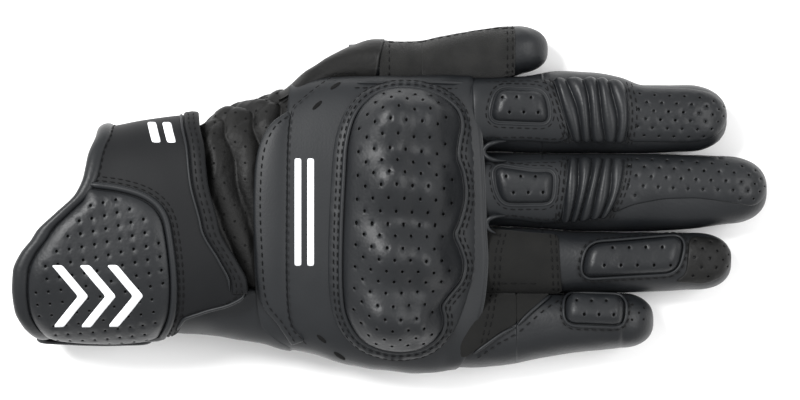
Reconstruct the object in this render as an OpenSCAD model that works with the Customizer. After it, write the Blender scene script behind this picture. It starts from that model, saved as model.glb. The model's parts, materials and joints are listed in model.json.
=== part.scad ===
// Riding glove for the right hand, lying on its palm.
// +X runs towards the fingertips, +Y towards the thumb, +Z out of the back of the hand.
// The origin is on the ground, under the middle of the glove.

/* [Hand] */
// Width of the palm across the knuckles
palm_w = 98; // [82:1:118]
// Length of the back of the hand, from the wrist seam to the knuckle line
palm_l = 75; // [62:1:90]
// Thickness of the hand over the metacarpals
hand_t = 37; // [31:1:45]
// Thickness of the hand at the knuckle line
knuckle_t = 27; // [24:1:31]
// Height of the palm leather above the ground
palm_lift = 2; // [1.6:0.1:3]

/* [Fingers] */
// Length of the index finger from the knuckle line
index_l = 84; // [70:1:101]
// Length of the middle finger from the knuckle line
middle_l = 97; // [81:1:117]
// Length of the ring finger from the knuckle line
ring_l = 85.5; // [71:0.5:103]
// Length of the little finger from the knuckle line
little_l = 59; // [52:1:71]
// Width of the index finger
index_w = 25.2; // [21:0.2:30]
// Width of the middle finger
middle_w = 24; // [20:0.2:29]
// Width of the ring finger
ring_w = 20.8; // [17.4:0.2:25]
// Width of the little finger
little_w = 18.2; // [15.2:0.2:22]
// Thickness of a finger at its root
finger_t = 23; // [19.2:0.2:26]
// Length of the finger roots, from the knuckle line to the middle joint
finger_root_l = 35; // [30:1:40]

/* [Thumb] */
// Length of the thumb from its root joint to its tip
thumb_l = 60; // [50:1:72]
// Width of the thumb across its back, which stands upright beside the hand
thumb_t = 21; // [17.5:0.5:25]
// Thickness of the thumb, which lies across the hand's width
thumb_w = 13; // [10.8:0.2:13.4]

/* [Cuff] */
// Length of the cuff on its long outer side
cuff_l = 66; // [55:1:79]
// Width of the cuff
cuff_w = 73; // [61:1:87]
// Height of the cuff
cuff_t = 42; // [35:1:50]
// Length of the pleated gusset that joins the cuff to the hand
gusset_l = 12; // [10:0.5:14.5]
// Width of the wrist strap
strap_w = 17; // [14.2:0.2:18]

/* [Knuckle guard] */
// Height of the guard's dome above the leather
guard_h = 6.5; // [5.4:0.1:7.8]
// Height that each knuckle bump adds
bump_h = 2.2; // [1.8:0.1:2.7]
// Thickness of the hard shell
shell_t = 1.6; // [1.3:0.1:2]

/* [Leather] */
// Thickness of the leather
leather = 1.4; // [1.1:0.1:1.7]
// Thickness of the textile lining
lining_t = 0.6; // [0.5:0.05:0.8]
// Thickness of hook or loop tape
tape_t = 0.6; // [0.5:0.05:0.75]
// Height of the finger pads
pad_h = 2.6; // [2.1:0.1:3.2]

/* [Movement] */
// Largest bend of a finger at the knuckle line
knuckle_bend = 70; // [50:5:75]
// Largest bend of a finger at its middle joint
middle_bend = 80; // [50:5:85]
// Largest bend of the thumb at its joint
thumb_bend = 50; // [30:5:60]
// Largest swing of the thumb away from the hand
thumb_swing = 35; // [20:5:40]

/* [Hidden] */
FINGERS = ["index", "middle", "ring", "little"];
FINGER_PARTS = ["root_back", "root_under", "root_fold", "end_back", "end_under", "end_fold", "pad"];

black_leather = [0.12, 0.12, 0.13];
soft_leather = [0.16, 0.16, 0.17];
suede = [0.2, 0.19, 0.18];
black_tape = [0.08, 0.08, 0.09];

// Clearances
seam_gap = 0.12;   // between two sewn edges
layer_gap = 0.25;  // between a panel and what is sewn on it
joint_gap = 0.35;  // between the two sides of a bending line
slide_gap = 0.35;  // between parts of two bodies that lie on each other
lining_loose = 0.8;  // between the leather and its lining

// Layout along X
finger_lengths = [index_l, middle_l, ring_l, little_l];
length = cuff_l + gusset_l + palm_l + max(finger_lengths);
cuff_x = -length / 2;
wrist_x = cuff_x + cuff_l + gusset_l;
knuckle_x = wrist_x + palm_l;
gusset_mid_x = wrist_x - gusset_l / 2;

// Layout across Y: the thumb stands beside the palm, and the glove is centred between the two
thumb_edge = 0.415 * palm_w;
outer_edge = thumb_edge - palm_w;
thumb_lean = 0.13;
thumb_root_y = thumb_edge + joint_gap + 0.34 * thumb_w;
thumb_reach = thumb_root_y + 0.84 * thumb_lean * thumb_l + thumb_w / 2;
side_shift = -(thumb_reach + outer_edge) / 2;
finger_gap = 0.9;
finger_widths = [index_w, middle_w, ring_w, little_w];
function sum_to(list, n) = n == 0 ? 0 : list[n - 1] + sum_to(list, n - 1);
finger_edge = 0.43 * palm_w;
function finger_y(f) = finger_edge - sum_to(finger_widths, f) - f * finger_gap - finger_widths[f] / 2;

// Heights
finger_lift = 0.8;
finger_z = finger_lift + finger_t / 2;
wrist_z = palm_lift + hand_t / 2;
cuff_lift = 4 * layer_gap + 2 * tape_t + slide_gap + leather;

function signed_power(v, p) = sign(v) * pow(abs(v), p);

// Point of a rounded section about centre c, half sizes h, both [y, z]. Squareness 2 is an ellipse.
function section(c, h, squareness, a) = [
    c[0] + h[0] * signed_power(cos(a), 2 / squareness),
    c[1] + h[1] * signed_power(sin(a), 2 / squareness)];

// How far a wall stands back from a bending line at height z, so that a bend closes the notch
function notch(z, axis_z, bend) = joint_gap + max(0, axis_z - z) * tan(bend / 2 + 1);

// Skin of the hand. u runs from the wrist to the knuckles, a is the angle round the section
// from the thumb side over the back, and d is the depth outwards from its outside.
hand_squareness = 2.7;
thumb_side_lean = 0.3;
hand_thumb_side = [[0, 0.85], [0.2, 0.96], [0.43, 1], [1, 1]];
hand_outer_side = [[0, 0.86], [0.2, 0.88], [0.43, 0.95], [0.65, 1], [0.84, 0.995], [1, 0.975]];
hand_top = [[0, hand_t - 1], [0.2, hand_t], [0.43, hand_t], [0.65, hand_t - 1.5],
            [0.84, (hand_t + 2 * knuckle_t) / 3 + 1], [1, knuckle_t]];
function hand_section(u, a, d) =
    let (near = thumb_edge * lookup(u, hand_thumb_side),
         far = outer_edge * lookup(u, hand_outer_side),
         top = lookup(u, hand_top),
         c = [(near + far) / 2, palm_lift + top / 2],
         p = section(c, [(near - far) / 2 + d, top / 2 + d], hand_squareness, a))
    [p[0] + (cos(a) > 0 ? thumb_side_lean * cos(a) * (p[1] - c[1]) : 0), p[1]];
function hand_surface(u, a, d) =
    let (p = hand_section(u, a, d),
         x0 = wrist_x + (sin(a) < 0 ? -3 * sin(a) : 0),
         x1 = knuckle_x - notch(p[1], finger_z, knuckle_bend))
    [x0 + (x1 - x0) * u, p[0] + side_shift, p[1]];

// Skins of a finger. Its root runs from the knuckle line to the middle joint, its end from
// there to the tip, where the section closes on the seam round the fingertip.
finger_squareness = 2.8;
end_turn = 0.62;      // share of the end's length before the tip turns in
finger_taper = 1.6;   // how much lower the tip is than the root
middle_x = knuckle_x + finger_root_l;
function root_x(f) = f == 3 ? middle_x - 0.28 * finger_root_l : middle_x;
function root_surface(f, u, a, d) =
    let (p = section([finger_y(f), finger_z], [finger_widths[f] / 2 + d, finger_t / 2 + d],
                     finger_squareness, a),
         x0 = knuckle_x + notch(p[1], finger_z, knuckle_bend),
         x1 = root_x(f) - notch(p[1], finger_z, middle_bend))
    [x0 + (x1 - x0) * u, p[0] + side_shift, p[1]];
function end_surface(f, u, a, d) =
    let (turn = 90 * max(0, u - end_turn) / (1 - end_turn),
         w = finger_widths[f] / 2 + d,
         t = finger_t / 2 - finger_taper * u / 2 + d,
         p = section([finger_y(f), finger_z - finger_taper * u / 2],
                     [w * (1 - 0.45 * (1 - cos(turn))), t * cos(turn)], finger_squareness, a),
         tip_x = knuckle_x + finger_lengths[f],
         cap_l = 0.55 * finger_widths[f],
         x0 = root_x(f) + notch(p[1], finger_z, middle_bend),
         x1 = tip_x - cap_l)
    [u < end_turn ? x0 + (x1 - x0) * u / end_turn
                  : x1 + (cap_l + d) * sin(turn) * (1 - 0.22 * pow(cos(a), 2)),
     p[0] + side_shift, p[1]];
// Half height of a fourchette, in degrees round the finger, tapering towards the tip
function wall_angle(u) = 26 * max(0, 1 - u / end_turn);

// Skin of the thumb, which leans away from the hand. s is the distance past its root joint.
thumb_root_x = wrist_x + 0.5 * palm_l;
thumb_joint_x = thumb_root_x + 0.53 * thumb_l;
thumb_z = 0.9 + thumb_t / 2;
thumb_squareness = 2.3;
function thumb_y(x) = thumb_root_y + thumb_lean * (x - thumb_root_x);
function thumb_section(x, a, size, d) =
    section([thumb_y(x), thumb_z], [(thumb_w / 2 + d) * size[0], (thumb_t / 2 + d) * size[1]],
            thumb_squareness, a);
function swing_notch(y) = joint_gap + max(0, y - thumb_root_y) * tan(thumb_swing / 2 + 1);
function thumb_root_surface(u, a, d) =
    let (p = thumb_section(thumb_root_x, a, [1, 1], d),
         x0 = thumb_root_x + swing_notch(p[0]),
         x1 = thumb_joint_x - notch(p[1], thumb_z, thumb_bend),
         x = x0 + (x1 - x0) * u)
    [x, p[0] + thumb_lean * (x - thumb_root_x) + side_shift, p[1]];
function thumb_end_surface(u, a, d) =
    let (turn = 90 * max(0, u - end_turn) / (1 - end_turn),
         p = thumb_section(thumb_root_x, a, [1 - 0.45 * (1 - cos(turn)), cos(turn)], d),
         tip_x = thumb_root_x + thumb_l,
         cap_l = 0.7 * thumb_w,
         x0 = thumb_joint_x + notch(p[1], thumb_z, thumb_bend),
         x1 = tip_x - cap_l,
         x = u < end_turn ? x0 + (x1 - x0) * u / end_turn : x1 + (cap_l + d) * sin(turn))
    [x, p[0] + thumb_lean * (x - thumb_root_x) + side_shift, p[1]];
// Bulge of the palm edge: it leaves the hand at the wrist and ends as a sleeve round the thumb
thenar_start_x = wrist_x + 0.05 * palm_l;
function thenar_surface(u, v, d) =
    let (on_hand = hand_section(0.05 + 0.4 * u, mix(24, -46, v), 2 * layer_gap + leather + d),
         on_thumb = thumb_section(thumb_root_x, mix(125, -125, v), [1, 1], d),
         t = pow(u, 1.3),
         p = mix(on_hand, on_thumb, t))
    [mix(thenar_start_x, thumb_root_x - swing_notch(p[0]), u), p[0] + side_shift, p[1]];

// Skin of the cuff. u runs from the mouth to the wrist. The mouth reaches further back on the
// outer side, and the front edge further forward there.
cuff_squareness = 2.5;
cuff_y = (thumb_edge + outer_edge) / 2 - 0.01 * palm_w;
function ramp(v, lo, hi) = let (t = max(0, min(1, (v - lo) / (hi - lo)))) t * t * (3 - 2 * t);
function cuff_reach(a) = ramp(a, 50, 106) * (1 - ramp(a, 196, 250));
function cuff_mouth_x(a) = cuff_x + 0.4 * cuff_l * (1 - cuff_reach(a));
function cuff_front_x(a) =
    cuff_x + cuff_l - 0.14 * cuff_l * (1 - ramp(a, 20, 150)) - 0.26 * cuff_l * ramp(a, 165, 200);
function cuff_section(a, d) =
    section([cuff_y, cuff_lift + cuff_t / 2], [cuff_w / 2 + d, cuff_t / 2 + d], cuff_squareness, a);
function cuff_surface(u, a, d) =
    let (p = cuff_section(a, d), x0 = cuff_mouth_x(a), x1 = cuff_front_x(a))
    [x0 + (x1 - x0) * u, p[0] + side_shift, p[1]];

// Skin of the wrist, from inside the cuff to under the hand's edge
gusset_tuck = 4.5;
cuff_inset = leather + 2 * slide_gap;
hand_inset = leather + lining_loose + lining_t + 2 * layer_gap;
function wrist_surface(u, a, d) =
    let (near = cuff_section(a, -cuff_inset + d),
         far = hand_section(0, a, -hand_inset + d),
         x = mix(cuff_front_x(a) - gusset_tuck, wrist_x + gusset_tuck, u),
         t = max(0, min(1, (x - cuff_front_x(a)) / (wrist_x - cuff_front_x(a)))))
    [x, mix(near[0], far[0], t) + side_shift, mix(near[1], far[1], t)];

// A sewn sheet on skin s(u, v, depth), for u and v from 0 to 1, between two depths.
// A closed sheet meets itself where v is 0 and 1.
module sheet(s, depths, along, across, closed = false) {
    row = closed ? across : across + 1;
    layer = (along + 1) * row;
    points = [for (d = depths, i = [0:along], j = [0:row - 1]) s(i / along, j / across, d)];
    function at(k, i, j) = k * layer + i * row + (j % row);
    function quad(p, q, r, t) = [[p, q, r], [p, r, t]];
    faces = concat(
        [for (i = [0:along - 1], j = [0:across - 1])
            each quad(at(1, i, j), at(1, i + 1, j), at(1, i + 1, j + 1), at(1, i, j + 1))],
        [for (i = [0:along - 1], j = [0:across - 1])
            each quad(at(0, i, j), at(0, i, j + 1), at(0, i + 1, j + 1), at(0, i + 1, j))],
        [for (j = [0:across - 1])
            each quad(at(0, 0, j), at(1, 0, j), at(1, 0, j + 1), at(0, 0, j + 1))],
        [for (j = [0:across - 1])
            each quad(at(0, along, j), at(0, along, j + 1), at(1, along, j + 1), at(1, along, j))],
        closed ? [] : [for (i = [0:along - 1])
            each quad(at(0, i, 0), at(0, i + 1, 0), at(1, i + 1, 0), at(1, i, 0))],
        closed ? [] : [for (i = [0:along - 1])
            each quad(at(0, i, across), at(1, i, across), at(1, i + 1, across), at(0, i + 1, across))]);
    polyhedron(points, faces);
}

function mix(p, q, t) = p + (q - p) * t;
// Part of a skin: u between the two of us, angle between the two of angles
function part_of(skin, us, angles) =
    function (u, v, d) skin(mix(us[0], us[1], u), mix(angles[0], angles[1], v), d);
// A square of -1 to 1 drawn onto a disc, which keeps a sheet's rows and columns
function to_disc(p, q) = [p * sqrt(1 - q * q / 2), q * sqrt(1 - p * p / 2)];

hand = function (u, a, d) hand_surface(u, a, d);
cuff = function (u, a, d) cuff_surface(u, a, d);
wrist = function (u, a, d) wrist_surface(u, a, d);

back_edge = [20, 160];     // where the back panel ends on the thumb side and the outer side
outer_edge_end = 216;      // where the outer edge panel meets the palm panel
palm_end = 318;            // where the palm panel ends under the thumb

module back_panel()
    color(black_leather)
        sheet(part_of(hand, [0, 1], back_edge), [-leather, 0], 7, 12);

module outer_edge_panel()
    color(soft_leather)
        sheet(part_of(hand, [0, 1], [back_edge[1] + seam_gap, outer_edge_end]), [-leather, 0], 7, 5);

module palm_panel()
    color(soft_leather)
        sheet(part_of(hand, [0, 1], [outer_edge_end + seam_gap, palm_end]), [-leather, 0], 7, 10);

module index_side_panel()
    color(soft_leather)
        sheet(part_of(hand, [5 / 7, 1], [palm_end - 360 + seam_gap, back_edge[0] - seam_gap]),
              [-leather, 0], 2, 5);

module thenar_panel()
    color(soft_leather)
        sheet(function (u, v, d) thenar_surface(u, v, d), [-leather, 0], 6, 12);

// The knuckle guard: its middle and half size, as [share of the palm's length, share of its width]
guard_middle = [0.668, 0];
guard_half = [0.256, 0.892];
// A square of -1 to 1 drawn onto the guard's rounded outline
function to_guard(p, q) = [p * sqrt(1 - 0.36 * q * q), q * sqrt(1 - 0.36 * p * p)];
// Angle round the hand at which its section reaches that share of its half width
function hand_angle(share) = acos(signed_power(max(-1, min(1, share)), hand_squareness / 2));
function on_guard(c, d) =
    hand_surface(guard_middle[0] + guard_half[0] * c[0],
                 hand_angle(guard_middle[1] - guard_half[1] * c[1]), d);
// Height of the guard, for p towards the fingers and q across the hand from the thumb side
bumps = [-0.68, -0.28, 0.24, 0.64];
function bump(q, at) = exp(-pow((q - at) / 0.16, 2));
function guard_rise(p, q) =
    let (dome = pow((1 - pow(p, 4)) * (1 - pow(q, 6)), 0.7))
    dome * (guard_h + bump_h * ramp(p, -0.6, 0.3)
        * (bump(q, bumps[0]) + bump(q, bumps[1]) + bump(q, bumps[2]) + bump(q, bumps[3])));
// A layer of the guard, its thickness added to base. rises are the shares of the dome's height
// that its lower and upper faces follow.
module guard_layer(base, thickness, rises) {
    sheet(function (u, v, k)
              let (p = 2 * u - 1, q = 2 * v - 1)
              on_guard(to_guard(p, q), base + k * thickness + rises[k] * guard_rise(p, q)),
          [0, 1], 10, 20);
}
foam_t = 0.5;   // thickness of the foam at the guard's edge

module knuckle_foam()
    color("dimgray") guard_layer(layer_gap, foam_t, [0, 1]);

module knuckle_shell()
    color("gray") guard_layer(foam_t + 2 * layer_gap, shell_t, [1, 1]);

module knuckle_cover()
    color(soft_leather) guard_layer(foam_t + 3 * layer_gap + shell_t, leather, [1, 1]);

// Border on which the guard's cover is sewn down
border_w = [0.4, 3.4];
module knuckle_border()
    color(black_leather)
        sheet(function (u, v, d)
                  let (w = mix(border_w[0], border_w[1], u),
                       side = [cos(360 * v), sin(360 * v)],
                       c = side / max(abs(side[0]), abs(side[1])),
                       edge = to_guard(c[0], c[1]))
                  on_guard([edge[0] * (1 + w / (guard_half[0] * palm_l)),
                            edge[1] * (1 + w / (guard_half[1] * palm_w / 2))], d),
              [layer_gap, layer_gap + leather], 1, 48, closed = true);

// Flat rounded pad of size [x, y] under the palm, centred at a place
module flat_pad(place, size, corner, top)
    translate([place[0], place[1] + side_shift, 0])
        linear_extrude(top) {
            square([size[0] - 2 * corner, size[1]], center = true);
            square([size[0], size[1] - 2 * corner], center = true);
            for (i = [-1, 1], j = [-1, 1])
                translate([i * (size[0] / 2 - corner), j * (size[1] / 2 - corner)])
                    circle(corner, $fn = 32);
        }
palm_mid_y = (thumb_edge + outer_edge) / 2;

module palm_patch()
    color(suede)
        flat_pad([knuckle_x - 0.33 * palm_l, palm_mid_y], [0.24 * palm_l, 0.4 * palm_w], 5,
                 palm_lift - seam_gap);

module heel_pad()
    color(suede)
        flat_pad([wrist_x + 0.28 * palm_l, palm_mid_y - 0.1 * palm_w], [0.24 * palm_l, 0.22 * palm_w], 5,
                 palm_lift - seam_gap);

module hand_lining()
    color("darkslategray")
        sheet(part_of(hand, [0.03, 0.97], [back_edge[0] + 3, palm_end - 3]),
              [-leather - lining_loose - lining_t, -leather - lining_loose], 7, 24);

// Folded leather band over the wrist end of the back
module wrist_yoke()
    color(black_leather)
        sheet(part_of(hand, [0.01, 0.15], [back_edge[0] + 4, back_edge[1] - 2]),
              [layer_gap, layer_gap + leather], 1, 12);

// Soft pleats that let the wrist bend
pleat_h = 0.5;
function pleat(t, folds) = pleat_h * (1 - cos(360 * folds * t)) / 2;
module wrist_gusset()
    color(soft_leather)
        sheet(function (u, v, d) wrist_surface(u, 360 * v, d - pleat(u, 3)), [-leather, 0], 8, 24,
              closed = true);

// Stretch piece over the root joint of the thumb
module thumb_gusset()
    color(suede)
        sheet(function (u, v, d)
                  let (a = mix(-58, 58, v),
                       p = thumb_section(thumb_root_x, a, [1, 1], layer_gap + d),
                       w = swing_notch(p[0]) + 3.5,
                       x = thumb_root_x + mix(-w, w, u))
                  [x, p[0] + thumb_lean * max(0, x - thumb_root_x) + side_shift, p[1]],
              [0, leather], 3, 8);

module strap_loop_tape()
    color(black_tape)
        sheet(part_of(wrist, strap_us(strap_w - 4), [205, 232]), [layer_gap, layer_gap + tape_t], 1, 4);

// Share of the wrist skin that a strap of that width covers, in the middle of the gusset
function strap_us(w) = let (l = wrist_x + gusset_tuck - (cuff_front_x(230) - gusset_tuck))
    [0.62 - w / l / 2, 0.62 + w / l / 2];
strap_angles = [186, 292];
strap_depth = layer_gap + 2 * tape_t + slide_gap;
module wrist_strap()
    color(black_leather)
        sheet(part_of(wrist, strap_us(strap_w), strap_angles),
              [strap_depth + layer_gap, strap_depth + layer_gap + leather], 1, 14);

module strap_hook_tape()
    color(black_tape)
        sheet(part_of(wrist, strap_us(strap_w - 4), [206, 231]),
              [strap_depth - tape_t, strap_depth], 1, 4);

cuff_seams = [-6, 184];   // where the cuff's back meets its palm side
binding_u = 0.05;
module cuff_back()
    color(black_leather)
        sheet(part_of(cuff, [binding_u + 0.006, 1], cuff_seams), [-leather, 0], 3, 18);

module cuff_palm()
    color(soft_leather)
        sheet(part_of(cuff, [binding_u + 0.006, 1],
                      [cuff_seams[1] + 2 * seam_gap, 360 + cuff_seams[0] - 2 * seam_gap]),
              [-leather, 0], 3, 18);

module cuff_binding()
    color(soft_leather)
        sheet(function (u, v, d)
                  let (a = v < 0.5 ? mix(cuff_seams[0], cuff_seams[1], 2 * v)
                                   : mix(cuff_seams[1], 360 + cuff_seams[0], 2 * v - 1))
                  cuff_surface(binding_u * u, a, d),
              [-leather - 0.5, 0.5], 1, 36, closed = true);

// Perforated patch on the outer side of the cuff's back
module cuff_patch()
    color(soft_leather)
        sheet(function (u, v, k)
                  let (c = to_disc(2 * u - 1, 2 * v - 1),
                       r = c[0] * c[0] + c[1] * c[1])
                  cuff_surface(mix(0.06, 0.66, (c[0] + 1) / 2), mix(84, 176, (c[1] + 1) / 2),
                               layer_gap + k * (leather + 0.6 * (1 - r))),
              [0, 1], 6, 10);

module cuff_loop_tape()
    color(black_tape)
        sheet(part_of(cuff, [0.2, 0.72], [216, 244]), [layer_gap, layer_gap + tape_t], 1, 5);

flap_angles = [187, 262];
flap_depth = layer_gap + 2 * tape_t + slide_gap;
module cuff_flap()
    color(black_leather)
        sheet(part_of(cuff, [0.1, 0.82], flap_angles),
              [flap_depth + layer_gap, flap_depth + layer_gap + leather], 1, 10);

module flap_hook_tape()
    color(black_tape)
        sheet(part_of(cuff, [0.2, 0.72], [217, 243]), [flap_depth - tape_t, flap_depth], 1, 5);

// Angle at which the upper and lower halves of the thumb are sewn together
thumb_seam = 4;
module thumb_panel(skin, angles)
    color(suede) sheet(part_of(skin, [0, 1], angles), [-leather, 0], 6, 8);
module thumb_root_back()
    thumb_panel(function (u, a, d) thumb_root_surface(u, a, d), [thumb_seam, 180 - thumb_seam]);
module thumb_root_palm()
    thumb_panel(function (u, a, d) thumb_root_surface(u, a, d), [180 + thumb_seam, 360 - thumb_seam]);
module thumb_end_back()
    thumb_panel(function (u, a, d) thumb_end_surface(u, a, d), [seam_gap, 180 - seam_gap]);
module thumb_end_palm()
    thumb_panel(function (u, a, d) thumb_end_surface(u, a, d), [180 + seam_gap, 360 - seam_gap]);

// Soft leather under the thumb's joint
module thumb_fold()
    color(soft_leather)
        sheet(function (u, v, d)
                  let (a = mix(186, 354, v),
                       p = thumb_root_surface(1, a, d),
                       q = thumb_end_surface(0, a, d))
                  [for (i = [0:2]) mix(p[i] + (i == 0 ? seam_gap : 0), q[i] - (i == 0 ? seam_gap : 0), u)],
              [-leather, 0], 3, 10);

// Share of a finger root that its pleats cut off, and where the end's back starts
has_pleats = [true, true, false, false];
pleat_reach = 6.2;
function root_end_u(f) = has_pleats[f] ? 1 - pleat_reach / finger_root_l : 1;
end_rows = 9;
function end_start_u(f) = has_pleats[f] ? 1 / end_rows : 0;

finger_root = function (f) function (u, a, d) root_surface(f, u, a, d);
module finger_root_back(f)
    color(f < 2 ? black_leather : suede)
        sheet(part_of(finger_root(f), [0, root_end_u(f)], [wall_angle(0) + 1, 179 - wall_angle(0)]),
              [-leather, 0], 3, 6);

// Sides and palm of a finger root in one piece
module finger_root_under(f)
    color(soft_leather)
        sheet(part_of(finger_root(f), [0, 1], [180 - wall_angle(0), 360 + wall_angle(0)]),
              [-leather, 0], 3, 14);

// Soft leather between the palm and a finger root, and between the root and the end
module fold(skin, x0, x1)
    color(soft_leather)
        sheet(function (u, v, d)
                  let (p = skin(0, mix(183, 357, v), d))
                  [mix(x0(p[2]), x1(p[2]), u), p[1], p[2]],
              [-leather, 0], 3, 12);
module finger_root_fold(f)
    fold(finger_root(f), function (z) knuckle_x - notch(z, finger_z, knuckle_bend) + seam_gap,
         function (z) knuckle_x + notch(z, finger_z, knuckle_bend) - seam_gap);
module finger_end_fold(f)
    fold(finger_root(f), function (z) root_x(f) - notch(z, finger_z, middle_bend) + seam_gap,
         function (z) root_x(f) + notch(z, finger_z, middle_bend) - seam_gap);

module finger_end_back(f)
    color(black_leather)
        sheet(function (u, v, d)
                  let (t = mix(end_start_u(f), 1, u), w = wall_angle(t) + seam_gap)
                  end_surface(f, t, mix(w, 180 - w, v), d),
              [-leather, 0], has_pleats[f] ? end_rows - 1 : end_rows, 6);

// Sides and palm of a finger end in one piece
module finger_end_under(f)
    color(soft_leather)
        sheet(function (u, v, d)
                  let (w = wall_angle(u) - seam_gap)
                  end_surface(f, u, mix(180 - w, 360 + w, v), d),
              [-leather, 0], end_rows, 12);

// Padded cushion on the back: on the roots of the first two fingers, on the ends of the others
pad_on_root = [true, true, false, false];
pad_us = [[0.12, 0.72], [0.12, 0.72], [0.08, 0.5], [0.1, 0.56]];
pad_angles = [52, 128];
module finger_pad(f)
    color(black_leather)
        sheet(function (u, v, k)
                  let (c = to_disc(2 * u - 1, 2 * v - 1),
                       d = layer_gap + k * (0.8 + pad_h * pow(max(0, 1 - c[0] * c[0] - c[1] * c[1]), 0.5)),
                       t = mix(pad_us[f][0], pad_us[f][1], (c[0] + 1) / 2),
                       a = mix(pad_angles[0], pad_angles[1], (c[1] + 1) / 2))
                  pad_on_root[f] ? root_surface(f, t, a, d) : end_surface(f, t, a, d),
              [0, 1], 6, 6);

// Pleated stretch leather over the middle joint of the first two fingers
module finger_pleats(f)
    color(soft_leather)
        sheet(function (u, v, d)
                  let (a = mix(wall_angle(0) + 4, 176 - wall_angle(0), v),
                       p = root_surface(f, root_end_u(f), a, d + pleat(u, 4)),
                       q = end_surface(f, end_start_u(f), a, d + pleat(u, 4)),
                       start = p[0] + seam_gap,
                       end = q[0] - seam_gap)
                  [mix(start, end, u), mix(p[1], q[1], u), mix(p[2], q[2], u)],
              [-leather, 0], 12, 6);

back_panel();
outer_edge_panel();
palm_panel();
index_side_panel();
thenar_panel();
knuckle_cover();
knuckle_shell();
knuckle_foam();
knuckle_border();
palm_patch();
heel_pad();
hand_lining();
wrist_yoke();
wrist_gusset();
thumb_gusset();
strap_loop_tape();
cuff_back();
cuff_palm();
cuff_binding();
cuff_patch();
cuff_loop_tape();
cuff_flap();
flap_hook_tape();
wrist_strap();
strap_hook_tape();
thumb_root_back();
thumb_root_palm();
thumb_end_back();
thumb_end_palm();
thumb_fold();
for (f = [0:3]) {
    finger_root_back(f);
    finger_root_under(f);
    finger_root_fold(f);
    finger_end_back(f);
    finger_end_under(f);
    finger_end_fold(f);
    finger_pad(f);
}
for (f = [0:1])
    finger_pleats(f);
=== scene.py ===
# Riding glove for the right hand, lying on its palm, back of the hand up.
import json
import math
import bpy
import numpy as np
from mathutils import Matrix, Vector
from mathutils.geometry import convex_hull_2d
from mathutils.geometry import delaunay_2d_cdt


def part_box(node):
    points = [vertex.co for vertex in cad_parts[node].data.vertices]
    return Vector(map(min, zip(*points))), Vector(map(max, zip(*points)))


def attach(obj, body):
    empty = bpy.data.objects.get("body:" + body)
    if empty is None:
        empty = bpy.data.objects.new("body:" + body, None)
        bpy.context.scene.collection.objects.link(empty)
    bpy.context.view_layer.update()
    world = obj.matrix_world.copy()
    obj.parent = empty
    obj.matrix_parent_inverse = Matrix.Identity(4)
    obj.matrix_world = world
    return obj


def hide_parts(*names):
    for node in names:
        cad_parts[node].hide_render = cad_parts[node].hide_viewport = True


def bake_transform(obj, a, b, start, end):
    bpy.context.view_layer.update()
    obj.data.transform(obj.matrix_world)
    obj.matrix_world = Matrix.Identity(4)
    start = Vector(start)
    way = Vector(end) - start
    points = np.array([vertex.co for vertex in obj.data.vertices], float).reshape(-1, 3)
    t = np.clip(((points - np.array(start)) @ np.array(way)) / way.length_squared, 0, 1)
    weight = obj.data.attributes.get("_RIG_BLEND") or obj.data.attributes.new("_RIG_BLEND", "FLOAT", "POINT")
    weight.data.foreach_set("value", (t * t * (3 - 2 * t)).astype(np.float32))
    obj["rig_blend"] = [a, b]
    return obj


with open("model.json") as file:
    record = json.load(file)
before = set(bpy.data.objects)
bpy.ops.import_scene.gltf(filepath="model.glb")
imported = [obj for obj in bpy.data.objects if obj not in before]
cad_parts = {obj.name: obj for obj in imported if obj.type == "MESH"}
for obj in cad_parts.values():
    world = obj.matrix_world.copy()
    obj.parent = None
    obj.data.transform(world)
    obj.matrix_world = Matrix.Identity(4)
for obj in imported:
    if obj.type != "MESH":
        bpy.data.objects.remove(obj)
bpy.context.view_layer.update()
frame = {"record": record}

# Lengths below are millimetres in the frame's axes: X towards the fingertips, Y towards the
# thumb, Z out of the back of the hand.
MM = 0.001
JOINTS = {joint["name"]: joint for joint in frame["record"]["behaviour"]["joints"]}
FINGERS = ["index", "middle", "ring", "little"]


def pivot(joint):
    return np.array(JOINTS[joint]["pos_m"]) / MM


def node_box(node):
    low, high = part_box(node)
    return np.array(low) / MM, np.array(high) / MM


FINGER_Z = pivot("index_knuckle_bend")[2]
THUMB_ROOT = pivot("thumb_swing")
THUMB_JOINT = pivot("thumb_bend")
WRIST = pivot("wrist_bend")

# ---------------------------------------------------------------- finishes


def new_tree(name):
    material = bpy.data.materials.new(name)
    material.use_nodes = True
    nodes = material.node_tree.nodes
    return material, nodes, material.node_tree.links, nodes["Principled BSDF"]


def effect_group(name, inputs, outputs):
    """An empty shader group with float inputs {name: value} and outputs {name: kind}."""
    group = bpy.data.node_groups.new(name, "ShaderNodeTree")
    for label, value in inputs.items():
        group.interface.new_socket(label, in_out="INPUT",
                                   socket_type="NodeSocketFloat").default_value = value
    for label, kind in outputs.items():
        group.interface.new_socket(label, in_out="OUTPUT", socket_type="NodeSocket" + kind)
    return group, group.nodes.new("NodeGroupInput"), group.nodes.new("NodeGroupOutput")


def link_scaled(group, source, factor):
    node = group.nodes.new("ShaderNodeMath")
    node.operation = "MULTIPLY"
    group.links.new(source, node.inputs[0])
    node.inputs[1].default_value = factor
    return node.outputs[0]


def noise(group, place, detail, scale=None):
    """A noise texture at the given place. Without a scale, the caller links one."""
    texture = group.nodes.new("ShaderNodeTexNoise")
    texture.inputs["Detail"].default_value = detail
    if scale:
        texture.inputs["Scale"].default_value = scale
    group.links.new(place, texture.inputs["Vector"])
    return texture


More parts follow.
